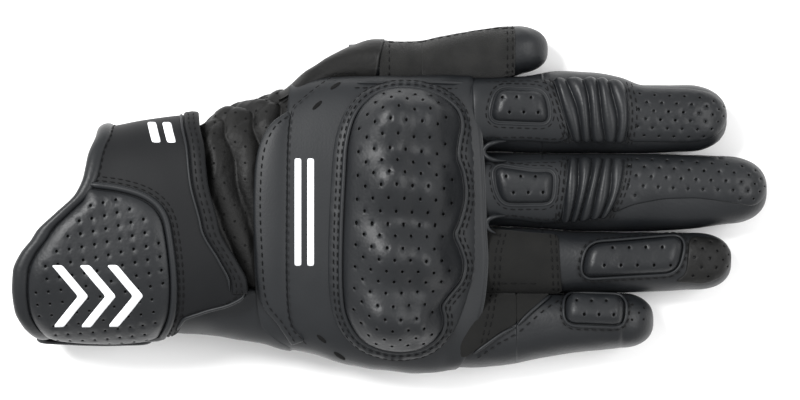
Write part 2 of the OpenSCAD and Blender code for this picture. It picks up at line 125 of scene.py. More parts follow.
def grain_group():
    """Pebbled hide: rounded cells with fine pores on them. Cells is the number per metre."""
    group, given, out = effect_group("hide_grain", {"Cells": 900.0, "Pores": 0.35},
                                     {"Height": "Float", "Tone": "Float"})
    links = group.links
    place = group.nodes.new("ShaderNodeTexCoord")
    cells = group.nodes.new("ShaderNodeTexVoronoi")
    cells.feature = "SMOOTH_F1"
    cells.inputs["Smoothness"].default_value = 0.6
    links.new(place.outputs["Object"], cells.inputs["Vector"])
    links.new(given.outputs["Cells"], cells.inputs["Scale"])
    pores = noise(group, place.outputs["Object"], 4.0)
    links.new(link_scaled(group, given.outputs["Cells"], 2.6), pores.inputs["Scale"])
    broad = noise(group, place.outputs["Object"], 5.0, 45.0)
    mix = group.nodes.new("ShaderNodeMix")
    mix.data_type = "FLOAT"
    links.new(given.outputs["Pores"], mix.inputs[0])
    links.new(cells.outputs["Distance"], mix.inputs[2])
    links.new(pores.outputs["Fac"], mix.inputs[3])
    links.new(mix.outputs[0], out.inputs["Height"])
    links.new(broad.outputs["Fac"], out.inputs["Tone"])
    return group


def nap_group():
    """Short raised fibres, brushed a little along the hand. Fibres is the number per metre."""
    group, given, out = effect_group("brushed_nap", {"Fibres": 1600.0},
                                     {"Height": "Float", "Tone": "Float"})
    links = group.links
    place = group.nodes.new("ShaderNodeTexCoord")
    brush = group.nodes.new("ShaderNodeMapping")
    brush.inputs["Scale"].default_value = (0.55, 1.0, 1.0)
    links.new(place.outputs["Object"], brush.inputs["Vector"])
    fibres = noise(group, brush.outputs["Vector"], 6.0)
    fibres.inputs["Roughness"].default_value = 0.75
    links.new(given.outputs["Fibres"], fibres.inputs["Scale"])
    patches = noise(group, place.outputs["Object"], 6.0, 140.0)
    links.new(fibres.outputs["Fac"], out.inputs["Height"])
    links.new(patches.outputs["Fac"], out.inputs["Tone"])
    return group


GRAIN = grain_group()
NAP = nap_group()


def surface(name, group, settings, dark, light, rough, bump, sheen=0.0, specular=0.5):
    """A finish whose colour and roughness run between two values with the group's tone."""
    material, nodes, links, shader = new_tree(name)
    effect = nodes.new("ShaderNodeGroup")
    effect.node_tree = group
    for label, value in settings.items():
        effect.inputs[label].default_value = value
    colour = nodes.new("ShaderNodeMapRange")
    colour.data_type = "FLOAT_VECTOR"
    colour.inputs[7].default_value = (0.3, 0.3, 0.3)
    colour.inputs[8].default_value = (0.7, 0.7, 0.7)
    colour.inputs[9].default_value = dark
    colour.inputs[10].default_value = light
    links.new(effect.outputs["Tone"], colour.inputs[6])
    links.new(colour.outputs[1], shader.inputs["Base Color"])
    roughness = nodes.new("ShaderNodeMapRange")
    roughness.inputs["From Min"].default_value = 0.3
    roughness.inputs["From Max"].default_value = 0.7
    roughness.inputs["To Min"].default_value = rough[0]
    roughness.inputs["To Max"].default_value = rough[1]
    links.new(effect.outputs["Tone"], roughness.inputs["Value"])
    links.new(roughness.outputs["Result"], shader.inputs["Roughness"])
    relief = nodes.new("ShaderNodeBump")
    relief.inputs["Strength"].default_value = bump[0]
    relief.inputs["Distance"].default_value = bump[1] * MM
    links.new(effect.outputs["Height"], relief.inputs["Height"])
    links.new(relief.outputs["Normal"], shader.inputs["Normal"])
    shader.inputs["Sheen Weight"].default_value = sheen
    shader.inputs["Sheen Roughness"].default_value = 0.5
    shader.inputs["Specular IOR Level"].default_value = specular
    return material


COWHIDE = surface("cowhide", GRAIN, {"Cells": 1500.0, "Pores": 0.5},
                  (0.0072, 0.0082, 0.0095), (0.0105, 0.0116, 0.0131), (0.44, 0.54), (0.3, 0.12),
                  specular=0.25)
# A darker, duller copy of the cowhide for the cuff's top and its front band: the higher roughness is the
# hide's own, the darker colour is painted shade on the flat cuff.
CUFF_HIDE_PAINTED_SHADE = surface("cuff_hide_painted_shade", GRAIN, {"Cells": 1500.0, "Pores": 0.4},
                    (0.0036, 0.0040, 0.0047), (0.0058, 0.0062, 0.0070), (0.56, 0.66), (0.25, 0.1),
                    specular=0.16)
GOATSKIN = surface("goatskin", GRAIN, {"Cells": 900.0, "Pores": 0.3},
                   (0.0060, 0.0068, 0.0080), (0.0098, 0.0108, 0.0122), (0.38, 0.49), (0.4, 0.16),
                   specular=0.27)
SOFT_HIDE = surface("soft_hide", GRAIN, {"Cells": 700.0, "Pores": 0.45},
                    (0.0030, 0.0031, 0.0031), (0.0070, 0.0069, 0.0066), (0.46, 0.6), (0.6, 0.25),
                    specular=0.18)
SUEDE = surface("suede", NAP, {"Fibres": 2200.0},
                (0.0075, 0.0077, 0.0075), (0.0165, 0.0165, 0.016), (0.85, 0.95), (0.9, 0.4), sheen=0.12,
                specular=0.15)
STRETCH = surface("stretch_panel", NAP, {"Fibres": 3200.0},
                  (0.0060, 0.0061, 0.0059), (0.0092, 0.0092, 0.0088), (0.8, 0.9), (0.5, 0.18), sheen=0.03,
                  specular=0.12)
LINING = surface("knit_lining", NAP, {"Fibres": 2600.0},
                 (0.010, 0.010, 0.011), (0.016, 0.016, 0.017), (0.85, 0.95), (0.5, 0.2))
THREAD = surface("thread", NAP, {"Fibres": 4000.0},
                 (0.0018, 0.0018, 0.0020), (0.0035, 0.0035, 0.0038), (0.6, 0.72), (0.5, 0.08),
                 specular=0.14)
TAPE = surface("hook_loop", GRAIN, {"Cells": 1800.0, "Pores": 0.2},
               (0.010, 0.010, 0.011), (0.018, 0.018, 0.019), (0.75, 0.9), (1.0, 0.5), sheen=0.1)
HARD_SHELL = surface("moulded_shell", GRAIN, {"Cells": 2500.0, "Pores": 0.8},
                     (0.016, 0.016, 0.017), (0.022, 0.022, 0.023), (0.3, 0.4), (0.2, 0.06))
FOAM = surface("foam", GRAIN, {"Cells": 1400.0, "Pores": 0.2},
               (0.06, 0.06, 0.062), (0.08, 0.08, 0.082), (0.9, 0.95), (0.8, 0.4))
PRINT = surface("white_print", GRAIN, {"Cells": 1500.0, "Pores": 0.5},
                (0.74, 0.75, 0.77), (0.82, 0.83, 0.85), (0.45, 0.55), (0.15, 0.1))
# Painted shade: the near-black finish of hole walls and floors, air slits and punch cups stands for the
# shade inside those openings.
SHADE = surface("punched_hole_painted_shade", NAP, {"Fibres": 3000.0},
                (0.004, 0.004, 0.004), (0.007, 0.007, 0.007), (0.9, 0.95), (0.2, 0.1), specular=0.1)

# ---------------------------------------------------------------- lines and outlines


def curve_through(points):
    """A smooth function of one value through the points, level beyond its ends."""
    xs, ys = np.array(points, float).T
    slope = np.diff(ys) / np.diff(xs)
    product = slope[:-1] * slope[1:]
    total = np.where(product > 0, slope[:-1] + slope[1:], 1.0)
    inner = np.where(product > 0, 2 * product / total, 0.0)
    tangent = np.concatenate([slope[:1], inner, slope[-1:]])

    def value(x):
        x = np.clip(x, xs[0], xs[-1])
        i = np.clip(np.searchsorted(xs, x) - 1, 0, len(xs) - 2)
        step = xs[i + 1] - xs[i]
        t = (x - xs[i]) / step
        return ((2 * t**3 - 3 * t**2 + 1) * ys[i] + (t**3 - 2 * t**2 + t) * step * tangent[i]
                + (3 * t**2 - 2 * t**3) * ys[i + 1] + (t**3 - t**2) * step * tangent[i + 1])
    return value


def smooth_step(value, start, end):
    t = np.clip((value - start) / (end - start), 0.0, 1.0)
    return t * t * (3 - 2 * t)


def bell(value, middle, width):
    return np.exp(-((value - middle) / width) ** 2)


def resample(points, spacing, closed=False):
    points = np.asarray(points, float)
    if closed:
        points = np.vstack([points, points[:1]])
    run = np.concatenate([[0], np.cumsum(np.linalg.norm(np.diff(points, axis=0), axis=1))])
    count = max(3, round(run[-1] / spacing))
    at = np.linspace(0, run[-1], count + 1)
    new = np.stack([np.interp(at, run, points[:, k]) for k in range(points.shape[1])], 1)
    return new[:-1] if closed else new


def spline(points, closed=False):
    """A Catmull-Rom curve through the points."""
    p = np.asarray(points, float)
    ends = (p[-1], [p[0], p[1]]) if closed else (2 * p[0] - p[1], [2 * p[-1] - p[-2]])
    q = np.vstack([ends[0], p, *ends[1]])
    t = np.linspace(0, 1, 12, endpoint=False)[:, None]
    made = [0.5 * (2 * b + (c - a) * t + (2 * a - 5 * b + 4 * c - d) * t**2 + (3 * b - a - 3 * c + d) * t**3)
            for a, b, c, d in zip(q, q[1:], q[2:], q[3:])]
    made = np.vstack(made if closed else made + [p[-1:]])
    return resample(made, 1.0, closed)


def rounded(corners, radius, spacing=1.0):
    """A closed outline with straight sides and round corners."""
    p = np.asarray(corners, float)
    t = np.linspace(0, 1, 7)[:, None]
    made = []
    for before, corner, after in zip(np.roll(p, 1, 0), p, np.roll(p, -1, 0)):
        reach = [min(radius, 0.48 * np.linalg.norm(side - corner)) for side in (before, after)]
        start, end = [corner + (side - corner) / np.linalg.norm(side - corner) * r
                      for side, r in zip((before, after), reach)]
        made.append((1 - t)**2 * start + 2 * t * (1 - t) * corner + t**2 * end)
    return resample(np.vstack(made), spacing, True)


def anticlockwise(loop):
    x, y = loop.T
    area = np.sum(x * np.roll(y, -1) - y * np.roll(x, -1))
    return loop if area > 0 else loop[::-1]


def offset_loop(loop, distance):
    """The closed outline moved outwards by the distance."""
    loop = anticlockwise(loop)
    along = np.roll(loop, -1, 0) - np.roll(loop, 1, 0)
    along /= np.linalg.norm(along, axis=1, keepdims=True)
    return loop + distance * np.stack([along[:, 1], -along[:, 0]], 1)


def offset_line(line, distance):
    """The open line moved to its left by the distance."""
    along = np.gradient(line, axis=0)
    along /= np.linalg.norm(along, axis=1, keepdims=True)
    return line + distance * np.stack([-along[:, 1], along[:, 0]], 1)


def opened(loop):
    """The points of a loop with a part taken out, put in order from one end to the other."""
    jumps = np.linalg.norm(np.roll(loop, -1, 0) - loop, axis=1)
    return np.roll(loop, -(np.argmax(jumps) + 1), 0)


def distance_to(points, loop):
    a, b = loop, np.roll(loop, -1, 0)
    ab = b - a
    reach = points[:, None, :] - a[None]
    t = np.clip((reach * ab).sum(2) / np.maximum((ab**2).sum(1), 1e-12), 0, 1)
    return np.sqrt(((reach - t[..., None] * ab) ** 2).sum(2)).min(1)


def inside(points, loop):
    a, b = loop, np.roll(loop, -1, 0)
    x, y = points[:, :1], points[:, 1:]
    crosses = (a[:, 1] > y) != (b[:, 1] > y)
    at = a[:, 0] + (y - a[:, 1]) / np.where(b[:, 1] == a[:, 1], 1e-9,
                                            b[:, 1] - a[:, 1]) * (b[:, 0] - a[:, 0])
    return (crosses & (x < at)).sum(1) % 2 == 1


def staggered(loop, pitch, margin, turn=0.0):
    """Places in rows inside the outline, every second row set half a pitch along."""
    middle = (loop.max(0) + loop.min(0)) / 2
    reach = np.ptp(loop, axis=0).max()
    rows = int(reach / pitch[1]) + 2
    columns = int(reach / pitch[0]) + 2
    places = np.array([((i + 0.5 * (j % 2)) * pitch[0], j * pitch[1])
                       for j in range(-rows, rows + 1) for i in range(-columns, columns + 1)])
    c, s = math.cos(turn), math.sin(turn)
    places = places @ np.array([[c, s], [-s, c]]) + middle
    return places[inside(places, loop) & (distance_to(places, loop) > margin)]


# ---------------------------------------------------------------- skins


def power(value, exponent):
    return np.sign(value) * np.abs(value) ** exponent


class Skin:
    """A tube along X whose rounded section changes along it.

    near, far, top and bottom are functions of x: the thumb side, the outer side and the
    heights. tip is where the tube turns in and how long its round end is. A place on it is
    (along, across): the run along X, and the run round the section from its top line,
    positive towards the thumb.
    """

    def __init__(self, near, far, top, bottom, squareness, middle, lean=0.0, tip=None, relief=None):
        self.near, self.far, self.top, self.bottom = [curve_through(p) for p in (near, far, top, bottom)]
        self.squareness, self.lean, self.tip, self.relief = squareness, lean, tip, relief
        self.angles = np.linspace(-np.pi, np.pi, 721)
        self.relief = None
        ring = self.at(np.full(721, float(middle)), self.angles + np.pi / 2)
        run = np.concatenate([[0], np.cumsum(np.linalg.norm(np.diff(ring, axis=0), axis=1))])
        self.runs = run - run[360]
        self.relief = relief

    def at(self, along, angle, out=0.0):
        along, angle = np.broadcast_arrays(np.asarray(along, float), np.asarray(angle, float))
        x, wide, tall = along, 1.0, 1.0
        if self.tip:
            start, cap = self.tip
            turn = np.clip((along - start) / cap, 0, np.pi / 2)
            x = np.where(along > start, start + (cap + out) * np.sin(turn), along)
            wide, tall = np.cos(turn) ** 0.78, np.cos(turn) ** 0.95
        near, far, top, bottom = self.near(along), self.far(along), self.top(along), self.bottom(along)
        if self.relief:
            out = out + self.relief(along, angle)
        middle_z = (top + bottom) / 2
        half = [((near - far) / 2 + out) * wide, ((top - bottom) / 2 + out) * tall]
        y = (near + far) / 2 + half[0] * power(np.cos(angle), 2 / self.squareness)
        z = middle_z + half[1] * power(np.sin(angle), 2 / self.squareness)
        y = y + np.where(np.cos(angle) > 0, self.lean * np.cos(angle) * (z - middle_z), 0.0)
        return np.stack([x, y, z], -1)

    def wrap(self, along, across, out=0.0):
        return self.at(along, np.pi / 2 - np.interp(across, self.runs, self.angles), out)

    def under(self, along, across, out=0.0):
        """The same place on the underside, across is then from its lowest line."""
        return self.at(along, np.interp(across, self.runs, self.angles) - np.pi / 2, out)

    def flat(self, points):
        """Places seen from above as (x, y), turned into (along, across)."""
        x, y = np.asarray(points, float).T
        middle, half = (self.near(x) + self.far(x)) / 2, (self.near(x) - self.far(x)) / 2
        share = (y - middle) / half
        limit = 0.985
        angle = np.arccos(power(np.clip(share, -limit, limit), self.squareness / 2))
        across = np.interp(np.pi / 2 - angle, self.angles, self.runs)
        return np.stack([x, across + np.sign(share) * np.maximum(0, np.abs(share) - limit) * half], 1)

    def across(self, degrees):
        return np.interp(np.pi / 2 - math.radians(degrees), self.angles, self.runs)


def ripple(x, y, size, seed):
    """Soft unevenness of a worn hide, between about -1 and 1."""
    a, b, c = seed, 1.7 * seed + 1.0, 2.3 * seed + 2.0
    x, y = x / size, y / size
    wave = np.sin(1.3 * x + 1.7 * np.sin(0.9 * y + a) + b) * np.sin(1.1 * y + 1.4 * np.sin(0.8 * x + c) + a)
    fine = np.sin(2.9 * x + 1.9 * np.sin(2.1 * y + c) + a) * np.sin(2.7 * y + 1.3 * np.sin(2.3 * x + a) + b)
    return 0.7 * wave + 0.3 * fine


# ---------------------------------------------------------------- meshes


def piece_from(name, points, faces, materials, indices=None):
    mesh = bpy.data.meshes.new(name)
    mesh.from_pydata((np.asarray(points) * MM).tolist(), [], [list(map(int, face)) for face in faces])
    for material in materials:
        mesh.materials.append(material)
    mesh.shade_smooth()
    if indices is not None:
        mesh.polygons.foreach_set("material_index", np.asarray(indices, dtype=np.int32))
    mesh.update()
    piece = bpy.data.objects.new(name, mesh)
    bpy.context.scene.collection.objects.link(piece)
    return piece


def layer_faces(rows, columns, closed, first=0, flip=False):
    width = columns if closed else columns + 1
    faces = []
    for i in range(rows):
        for j in range(columns):
            a, b = first + i * width + j, first + i * width + (j + 1) % width
            face = (a, a + width, b + width, b)
            faces.append(face[::-1] if flip else face)
    return faces


def shell(name, place, rows, columns, wall, materials, closed=True, tip=False, pick=None, flip=False):
    """A sewn skin with its inner face. place(u, v, depth) for u and v from 0 to 1."""
    width = columns if closed else columns + 1
    u, v = np.meshgrid(np.linspace(0, 1, rows + 1), np.arange(width) / columns, indexing="ij")
    outer, inner = place(u, v, 0.0), place(u, v, -wall)
    points = np.vstack([outer.reshape(-1, 3), inner.reshape(-1, 3)])
    half = (rows + 1) * width
    faces = layer_faces(rows, columns, closed, 0,
                        flip) + layer_faces(rows, columns, closed, half, not flip)
    indices = [0 if pick is None else pick((k // columns + 0.5) / rows, (k % columns + 0.5) / columns)
               for k in range(rows * columns)] * 2

    def edge(a, b):
        faces.append((a, b, b + half, a + half) if flip else (b, a, a + half, b + half))
        indices.append(0)
    for j in range(columns):
        k = (j + 1) % width
        edge(j, k)
        if not tip:
            edge(rows * width + k, rows * width + j)
    if not closed:
        for i in range(rows):
            edge((i + 1) * width, i * width)
            edge(i * width + columns, (i + 1) * width + columns)
    piece = piece_from(name, points, faces, materials, indices)
    if tip:
        weld(piece)
    return piece


def weld(piece):
    """Closes a tip whose last row of points has come together."""
    import bmesh
    work = bmesh.new()
    work.from_mesh(piece.data)
    bmesh.ops.remove_doubles(work, verts=work.verts, dist=0.02 * MM)
    work.to_mesh(piece.data)
    work.free()


def fill_outline(loop, rings, step, holes, hole_edge):
    """Points and triangles inside the outline, left open at each hole."""
    low, high = loop.min(0), loop.max(0)
    rows = np.arange(low[1], high[1], step * 0.866)
    grid = np.array([(x + (j % 2) * step / 2, y) for j,
                     y in enumerate(rows) for x in np.arange(low[0], high[0], step)])
    grid = grid[inside(grid, loop)]
    grid = grid[distance_to(grid, rings[-1] if rings else loop) > 0.55 * step]
    grid = grid[distance_to(grid, loop) > 0.55 * step]
    sides = 10
    turn = np.linspace(0, 2 * np.pi, sides, endpoint=False)
    circles = [h + hole_edge * np.stack([np.cos(turn), np.sin(turn)], 1) for h in holes]
    if len(holes) and len(grid):
        gap = np.sqrt(((grid[:, None] - holes[None]) ** 2).sum(2)).min(1)
        grid = grid[gap > hole_edge + 0.4 * step]
    points = np.vstack([loop, *rings, *circles, grid])
    count = len(loop)
    edges = [(i, (i + 1) % count) for i in range(count)]
    first_circle = count + sum(len(r) for r in rings)
    for k in range(len(holes)):
        base = first_circle + k * sides
        edges += [(base + i, base + (i + 1) % sides) for i in range(sides)]
    out = delaunay_2d_cdt([Vector(p) for p in points], edges, [], 0, 1e-6, True)
    made, faces, origin = np.array([tuple(p) for p in out[0]]), np.array(out[2]), out[3]
    centre = made[faces].mean(1)
    keep = inside(centre, loop)
    if len(holes):
        gap = np.sqrt(((centre[:, None] - holes[None]) ** 2).sum(2)).min(1)
        keep &= gap > hole_edge * 0.9
    where = {old: new for new, olds in enumerate(origin) for old in olds}
    rims = [[where[first_circle + k * sides + i] for i in range(sides)] for k in range(len(holes))]
    edge = [where[i] for i in range(count)]
    return made, faces[keep], edge, rims


HOLE_EDGE = 0.62     # radius at which the leather starts to turn down into a hole
HOLE_RADIUS = 0.44
# A hole's floor is a dark disc of painted shade, and its wall below the lip is painted dark as shade too.
HOLE_LIP, HOLE_DEPTH = 0.16, 0.95    # depths of a hole's turned edge and of its floor


def panel(name, loop, place, height, material, holes=(), step=1.6, roll=0.9, sink=0.6, flip=False):
    """A cut piece of leather on a skin, its edges turned down, with real punched holes whose walls and
    floors carry painted shade.

    height(along, across, edge) is how far its face stands off the skin, edge being the distance
    to the outline.
    """
    loop = anticlockwise(resample(loop, step * 0.7, True))
    holes = np.asarray(holes, float).reshape(-1, 2)
    rings = [offset_loop(loop, -share * roll) for share in (0.12, 0.45, 1.0)] if roll else []
    flat, faces, edge, rims = fill_outline(loop, rings, step, holes, HOLE_EDGE)

    def face_height(p):
        d = distance_to(p, loop)
        drop = roll - np.sqrt(np.maximum(0, roll**2 - (roll - np.minimum(d, roll)) ** 2)) if roll else 0.0
        return height(p[:, 0], p[:, 1], d) - drop
    rise = face_height(flat)
    points = [place(flat[:, 0], flat[:, 1], rise)]
    faces = faces.tolist()
    indices = [0] * len(faces)
    total = len(flat)

    def strip(upper, lower, index, forward=True):
        """Joins two rows of points with faces, all the way round."""
        for i, a in enumerate(upper):
            j = (i + 1) % len(upper)
            face = (a, upper[j], lower[j], lower[i])
            faces.append(face if forward else face[::-1])
            indices.append(index)

    for centre, rim in zip(holes, rims):
        above = rise[rim].mean()
        inner = centre + (flat[rim] - centre) * HOLE_RADIUS / HOLE_EDGE
        rows = [place(inner[:, 0], inner[:, 1], np.full(len(rim), above - depth))
                for depth in (HOLE_LIP, HOLE_DEPTH)]
        bottom = place(centre[:1], centre[1:], np.array([above - HOLE_DEPTH]))
        points += [*rows, bottom]
        first = list(range(total, total + len(rim)))
        second = list(range(total + len(rim), total + 2 * len(rim)))
        strip(rim, first, 0)
        # The wall below the lip and the floor take the painted-shade finish.
        strip(first, second, 1)
        for i, a in enumerate(second):
            faces.append((total + 2 * len(rim), a, second[(i + 1) % len(second)]))
            indices.append(1)
        total += 2 * len(rim) + 1
    back, back_faces, back_edge, _ = fill_outline(loop, [], 5.0, np.zeros((0, 2)), HOLE_EDGE)
    points.append(place(back[:, 0], back[:, 1], np.full(len(back), -sink)))
    faces += [[total + k for k in face[::-1]] for face in back_faces]
    indices += [0] * len(back_faces)
    strip(edge, [total + k for k in back_edge], 0, forward=False)
    if flip:
        faces = [face[::-1] for face in faces]
    return piece_from(name, np.vstack(points), faces, [material, SHADE], indices)


# ---------------------------------------------------------------- threads, welts and ribs


def node_tree(name, sizes):
    """A geometry tree with a geometry in and out, and named inputs {name: value}."""
    tree = bpy.data.node_groups.new(name, "GeometryNodeTree")
    tree.interface.new_socket("Geometry", in_out="INPUT", socket_type="NodeSocketGeometry")
    for label, value in sizes.items():
        if isinstance(value, bpy.types.Material):
            socket = tree.interface.new_socket(label, in_out="INPUT", socket_type="NodeSocketMaterial")
        else:
            socket = tree.interface.new_socket(label, in_out="INPUT", socket_type="NodeSocketFloat")
        socket.default_value = value
    tree.interface.new_socket("Geometry", in_out="OUTPUT", socket_type="NodeSocketGeometry")
    return tree, tree.nodes.new("NodeGroupInput"), tree.nodes.new("NodeGroupOutput")


def named_vector(tree, name, kind="FLOAT_VECTOR"):
    node = tree.nodes.new("GeometryNodeInputNamedAttribute")
    node.data_type = kind
    node.inputs["Name"].default_value = name
    return node.outputs["Attribute"]


def finish_tree(tree, geometry, given, out):
    smooth = tree.nodes.new("GeometryNodeSetShadeSmooth")
    paint = tree.nodes.new("GeometryNodeSetMaterial")
    tree.links.new(geometry, smooth.inputs["Geometry"])
    tree.links.new(smooth.outputs["Geometry"], paint.inputs["Geometry"])
    tree.links.new(given.outputs["Material"], paint.inputs["Material"])
    tree.links.new(paint.outputs["Geometry"], out.inputs["Geometry"])


def stitch_tree():
    """Stitches along edge paths: a pointed bead of thread at every pitch, lying on the path's up."""
    tree, given, out = node_tree("stitch_row", {"Pitch": 2.6 * MM, "Length": 1.9 * MM, "Thread": 0.4 * MM,
                                                "Material": THREAD})
    new, link = tree.nodes.new, tree.links.new
    path = new("GeometryNodeMeshToCurve")
    link(given.outputs["Geometry"], path.inputs["Mesh"])
    even = new("GeometryNodeResampleCurve")
    even.mode = "LENGTH"
    link(path.outputs["Curve"], even.inputs["Curve"])
    link(given.outputs["Pitch"], even.inputs["Length"])
    bead = new("GeometryNodeMeshUVSphere")
    bead.inputs["Segments"].default_value = 6
    bead.inputs["Rings"].default_value = 5
    bead.inputs["Radius"].default_value = 0.5
    size = new("ShaderNodeCombineXYZ")
    link(given.outputs["Length"], size.inputs["X"])
    link(given.outputs["Thread"], size.inputs["Y"])
    link(given.outputs["Thread"], size.inputs["Z"])
    shaped = new("GeometryNodeTransform")
    link(bead.outputs["Mesh"], shaped.inputs["Geometry"])
    link(size.outputs["Vector"], shaped.inputs["Scale"])
    upright = new("FunctionNodeAlignRotationToVector")
    upright.axis = "Z"
    link(named_vector(tree, "up"), upright.inputs["Vector"])
    forward = new("FunctionNodeAlignRotationToVector")
    forward.axis = "X"
    forward.pivot_axis = "Z"
    link(upright.outputs["Rotation"], forward.inputs["Rotation"])
    link(new("GeometryNodeInputTangent").outputs["Tangent"], forward.inputs["Vector"])
    sewn = new("GeometryNodeInstanceOnPoints")
    link(even.outputs["Curve"], sewn.inputs["Points"])
    link(shaped.outputs["Geometry"], sewn.inputs["Instance"])
    link(forward.outputs["Rotation"], sewn.inputs["Rotation"])
    real = new("GeometryNodeRealizeInstances")
    link(sewn.outputs["Instances"], real.inputs["Geometry"])
    finish_tree(tree, real.outputs["Geometry"], given, out)
    return tree


def roll_tree():
    """A round roll of leather along edge paths, as thick as the path's girth says."""
    tree, given, out = node_tree("leather_roll", {"Radius": 1.0 * MM, "Material": COWHIDE})
    new, link = tree.nodes.new, tree.links.new
    path = new("GeometryNodeMeshToCurve")
    link(given.outputs["Geometry"], path.inputs["Mesh"])
    girth = new("GeometryNodeSetCurveRadius")
    link(path.outputs["Curve"], girth.inputs["Curve"])
    link(named_vector(tree, "girth", "FLOAT"), girth.inputs["Radius"])
    ring = new("GeometryNodeCurvePrimitiveCircle")
    ring.inputs["Resolution"].default_value = 10
    link(given.outputs["Radius"], ring.inputs["Radius"])
    swept = new("GeometryNodeCurveToMesh")
    link(girth.outputs["Curve"], swept.inputs["Curve"])
    link(ring.outputs["Curve"], swept.inputs["Profile Curve"])
    if "Scale" in swept.inputs:
        link(named_vector(tree, "girth", "FLOAT"), swept.inputs["Scale"])
    swept.inputs["Fill Caps"].default_value = True
    real = new("GeometryNodeRealizeInstances")
    link(swept.outputs["Mesh"], real.inputs["Geometry"])
    finish_tree(tree, real.outputs["Geometry"], given, out)
    return tree


def punch_tree():
    """Small dark cups of painted shade, standing for punched holes, on the points of a mesh, each a shallow
    cup turned to its up.
    """
    tree, given, out = node_tree("punch_hole_shade", {"Radius": 0.45 * MM, "Material": SHADE})
    new, link = tree.nodes.new, tree.links.new
    cup = new("GeometryNodeMeshUVSphere")
    cup.inputs["Segments"].default_value = 10
    cup.inputs["Rings"].default_value = 5
    link(given.outputs["Radius"], cup.inputs["Radius"])
    low = new("GeometryNodeTransform")
    low.inputs["Scale"].default_value = (1.0, 1.0, 0.3)
    link(cup.outputs["Mesh"], low.inputs["Geometry"])
    upright = new("FunctionNodeAlignRotationToVector")
    upright.axis = "Z"
    link(named_vector(tree, "up"), upright.inputs["Vector"])
    points = new("GeometryNodeMeshToPoints")
    link(given.outputs["Geometry"], points.inputs["Mesh"])
    set_in = new("GeometryNodeInstanceOnPoints")
    link(points.outputs["Points"], set_in.inputs["Points"])
    link(low.outputs["Geometry"], set_in.inputs["Instance"])
    link(upright.outputs["Rotation"], set_in.inputs["Rotation"])
    real = new("GeometryNodeRealizeInstances")
    link(set_in.outputs["Instances"], real.inputs["Geometry"])
    finish_tree(tree, real.outputs["Geometry"], given, out)
    return tree


STITCHES = stitch_tree()
ROLLS = roll_tree()
PUNCHES = punch_tree()


def grow(name, tree, paths):
    """Runs a tree over paths of (points, ups, girths) and keeps the result as a plain mesh."""
    points, edges, ups, girths = [], [], [], []
    for line, up, girth in paths:
        base = len(points)
        points += (np.asarray(line) * MM).tolist()
        ups.append(up)
        girths.append(girth)
        edges += [(base + i, base + i + 1) for i in range(len(line) - 1)] if tree is not PUNCHES else []
    mesh = bpy.data.meshes.new(name)
    mesh.from_pydata(points, edges, [])
    mesh.attributes.new("up", "FLOAT_VECTOR", "POINT").data.foreach_set("vector", np.vstack(ups).ravel())
    mesh.attributes.new("girth", "FLOAT", "POINT").data.foreach_set("value", np.concatenate(girths))
    source = bpy.data.objects.new(name, mesh)
    bpy.context.scene.collection.objects.link(source)
    modifier = source.modifiers.new("made", "NODES")
    modifier.node_group = tree
    ready = source.evaluated_get(bpy.context.evaluated_depsgraph_get())
    made = bpy.data.meshes.new_from_object(ready)
    source.modifiers.clear()
    source.data = made
    for attribute in [a.name for a in made.attributes if a.name in ("up", "girth")]:
        made.attributes.remove(made.attributes[attribute])
    return source


def lifted(place, line, out):
    """The line laid on a skin, with the direction out of the skin at each point."""
    along, across = line.T
    here = place(along, across, out)
    step = 0.3
    du = place(along + step, across, out) - place(along - step, across, out)
    dv = place(along, across + step, out) - place(along, across - step, out)
    up = np.cross(du, dv)
    up /= np.maximum(np.linalg.norm(up, axis=1, keepdims=True), 1e-9)
    return here, up


class Sewing:
    """Collects the stitch rows and rolls that move together, and makes one piece of each."""

    def __init__(self, name, on):
        self.name, self.on, self.rows, self.rolls = name, on, [], []

    def stitch(self, place, line, out=0.15, closed=False, flip=False):
        line = resample(line, 0.8, closed)
        if closed:
            line = np.vstack([line, line[:1]])
        here, up = lifted(place, line, out)
        self.rows.append((here, -up if flip else up, np.ones(len(here))))

    def roll(self, place, line, radius, out=0.0, taper=3.0, closed=False):
        line = resample(line, 0.9, closed)
        if closed:
            line = np.vstack([line, line[:1]])
        here, up = lifted(place, line, out)
        run = np.linspace(0, 1, len(here)) * len(here) * 0.9
        ease = np.ones(len(here))
        if taper and not closed:
            ease = np.sqrt(np.clip(np.minimum(run, run[::-1]) / taper, 0.03, 1.0))
        self.rolls.append((here, up, ease * radius))

    def make(self):
        made = []
        if self.rows:
            made.append(grow(self.name + "_stitches", STITCHES, self.rows))
        if self.rolls:
            made.append(grow(self.name + "_welts", ROLLS, self.rolls))
        for piece in made:
            carry(piece, self.on)


def carry(piece, on):
    """Rides the piece on a body, or blends it over the joint that on describes."""
    if isinstance(on, str):
        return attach(piece, on)
    first, second, start, end = on
    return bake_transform(piece, first, second, start=tuple(np.array(start) * MM),
                    end=tuple(np.array(end) * MM))


def fit(piece, on, slot, *nodes):
    """Carries the piece and hides the plain solids that it stands for; its slot, the name of its finish, is
    not used.
    """
    carry(piece, on)
    if nodes:
        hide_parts(*nodes)
    return piece


# ---------------------------------------------------------------- the hand

def hand_relief(along, angle):
    on_back = np.clip(np.sin(angle), 0, 1)
    folds = 0.35 * ripple(along, 14 * angle, 9.0, 1.3)
    side = np.clip(1 - on_back * 1.4, 0, 1)
    return folds * (0.35 + 0.9 * side)


HAND = Skin(near=[(-52, 33), (-34, 37.5), (-15, 40.0), (10, 40.6), (28, 40.8), (36, 40.8)],
            far=[(-52, -49.2), (-44, -49.7), (-31, -51), (-17.8, -54.7), (-4, -57.4), (9, -58.2),
                 (22, -57.2), (34, -55.8)],
            top=[(-52, 37.4), (-40, 38.4), (-15, 38.8), (2, 37.2), (14, 33.4), (22, 29.4), (28, 26.4),
                 (34, 25.2)],
            bottom=[(-52, 2.4), (-40, 2.0), (30, 2.0)], squareness=2.7, middle=0, lean=0.25,
            relief=hand_relief)

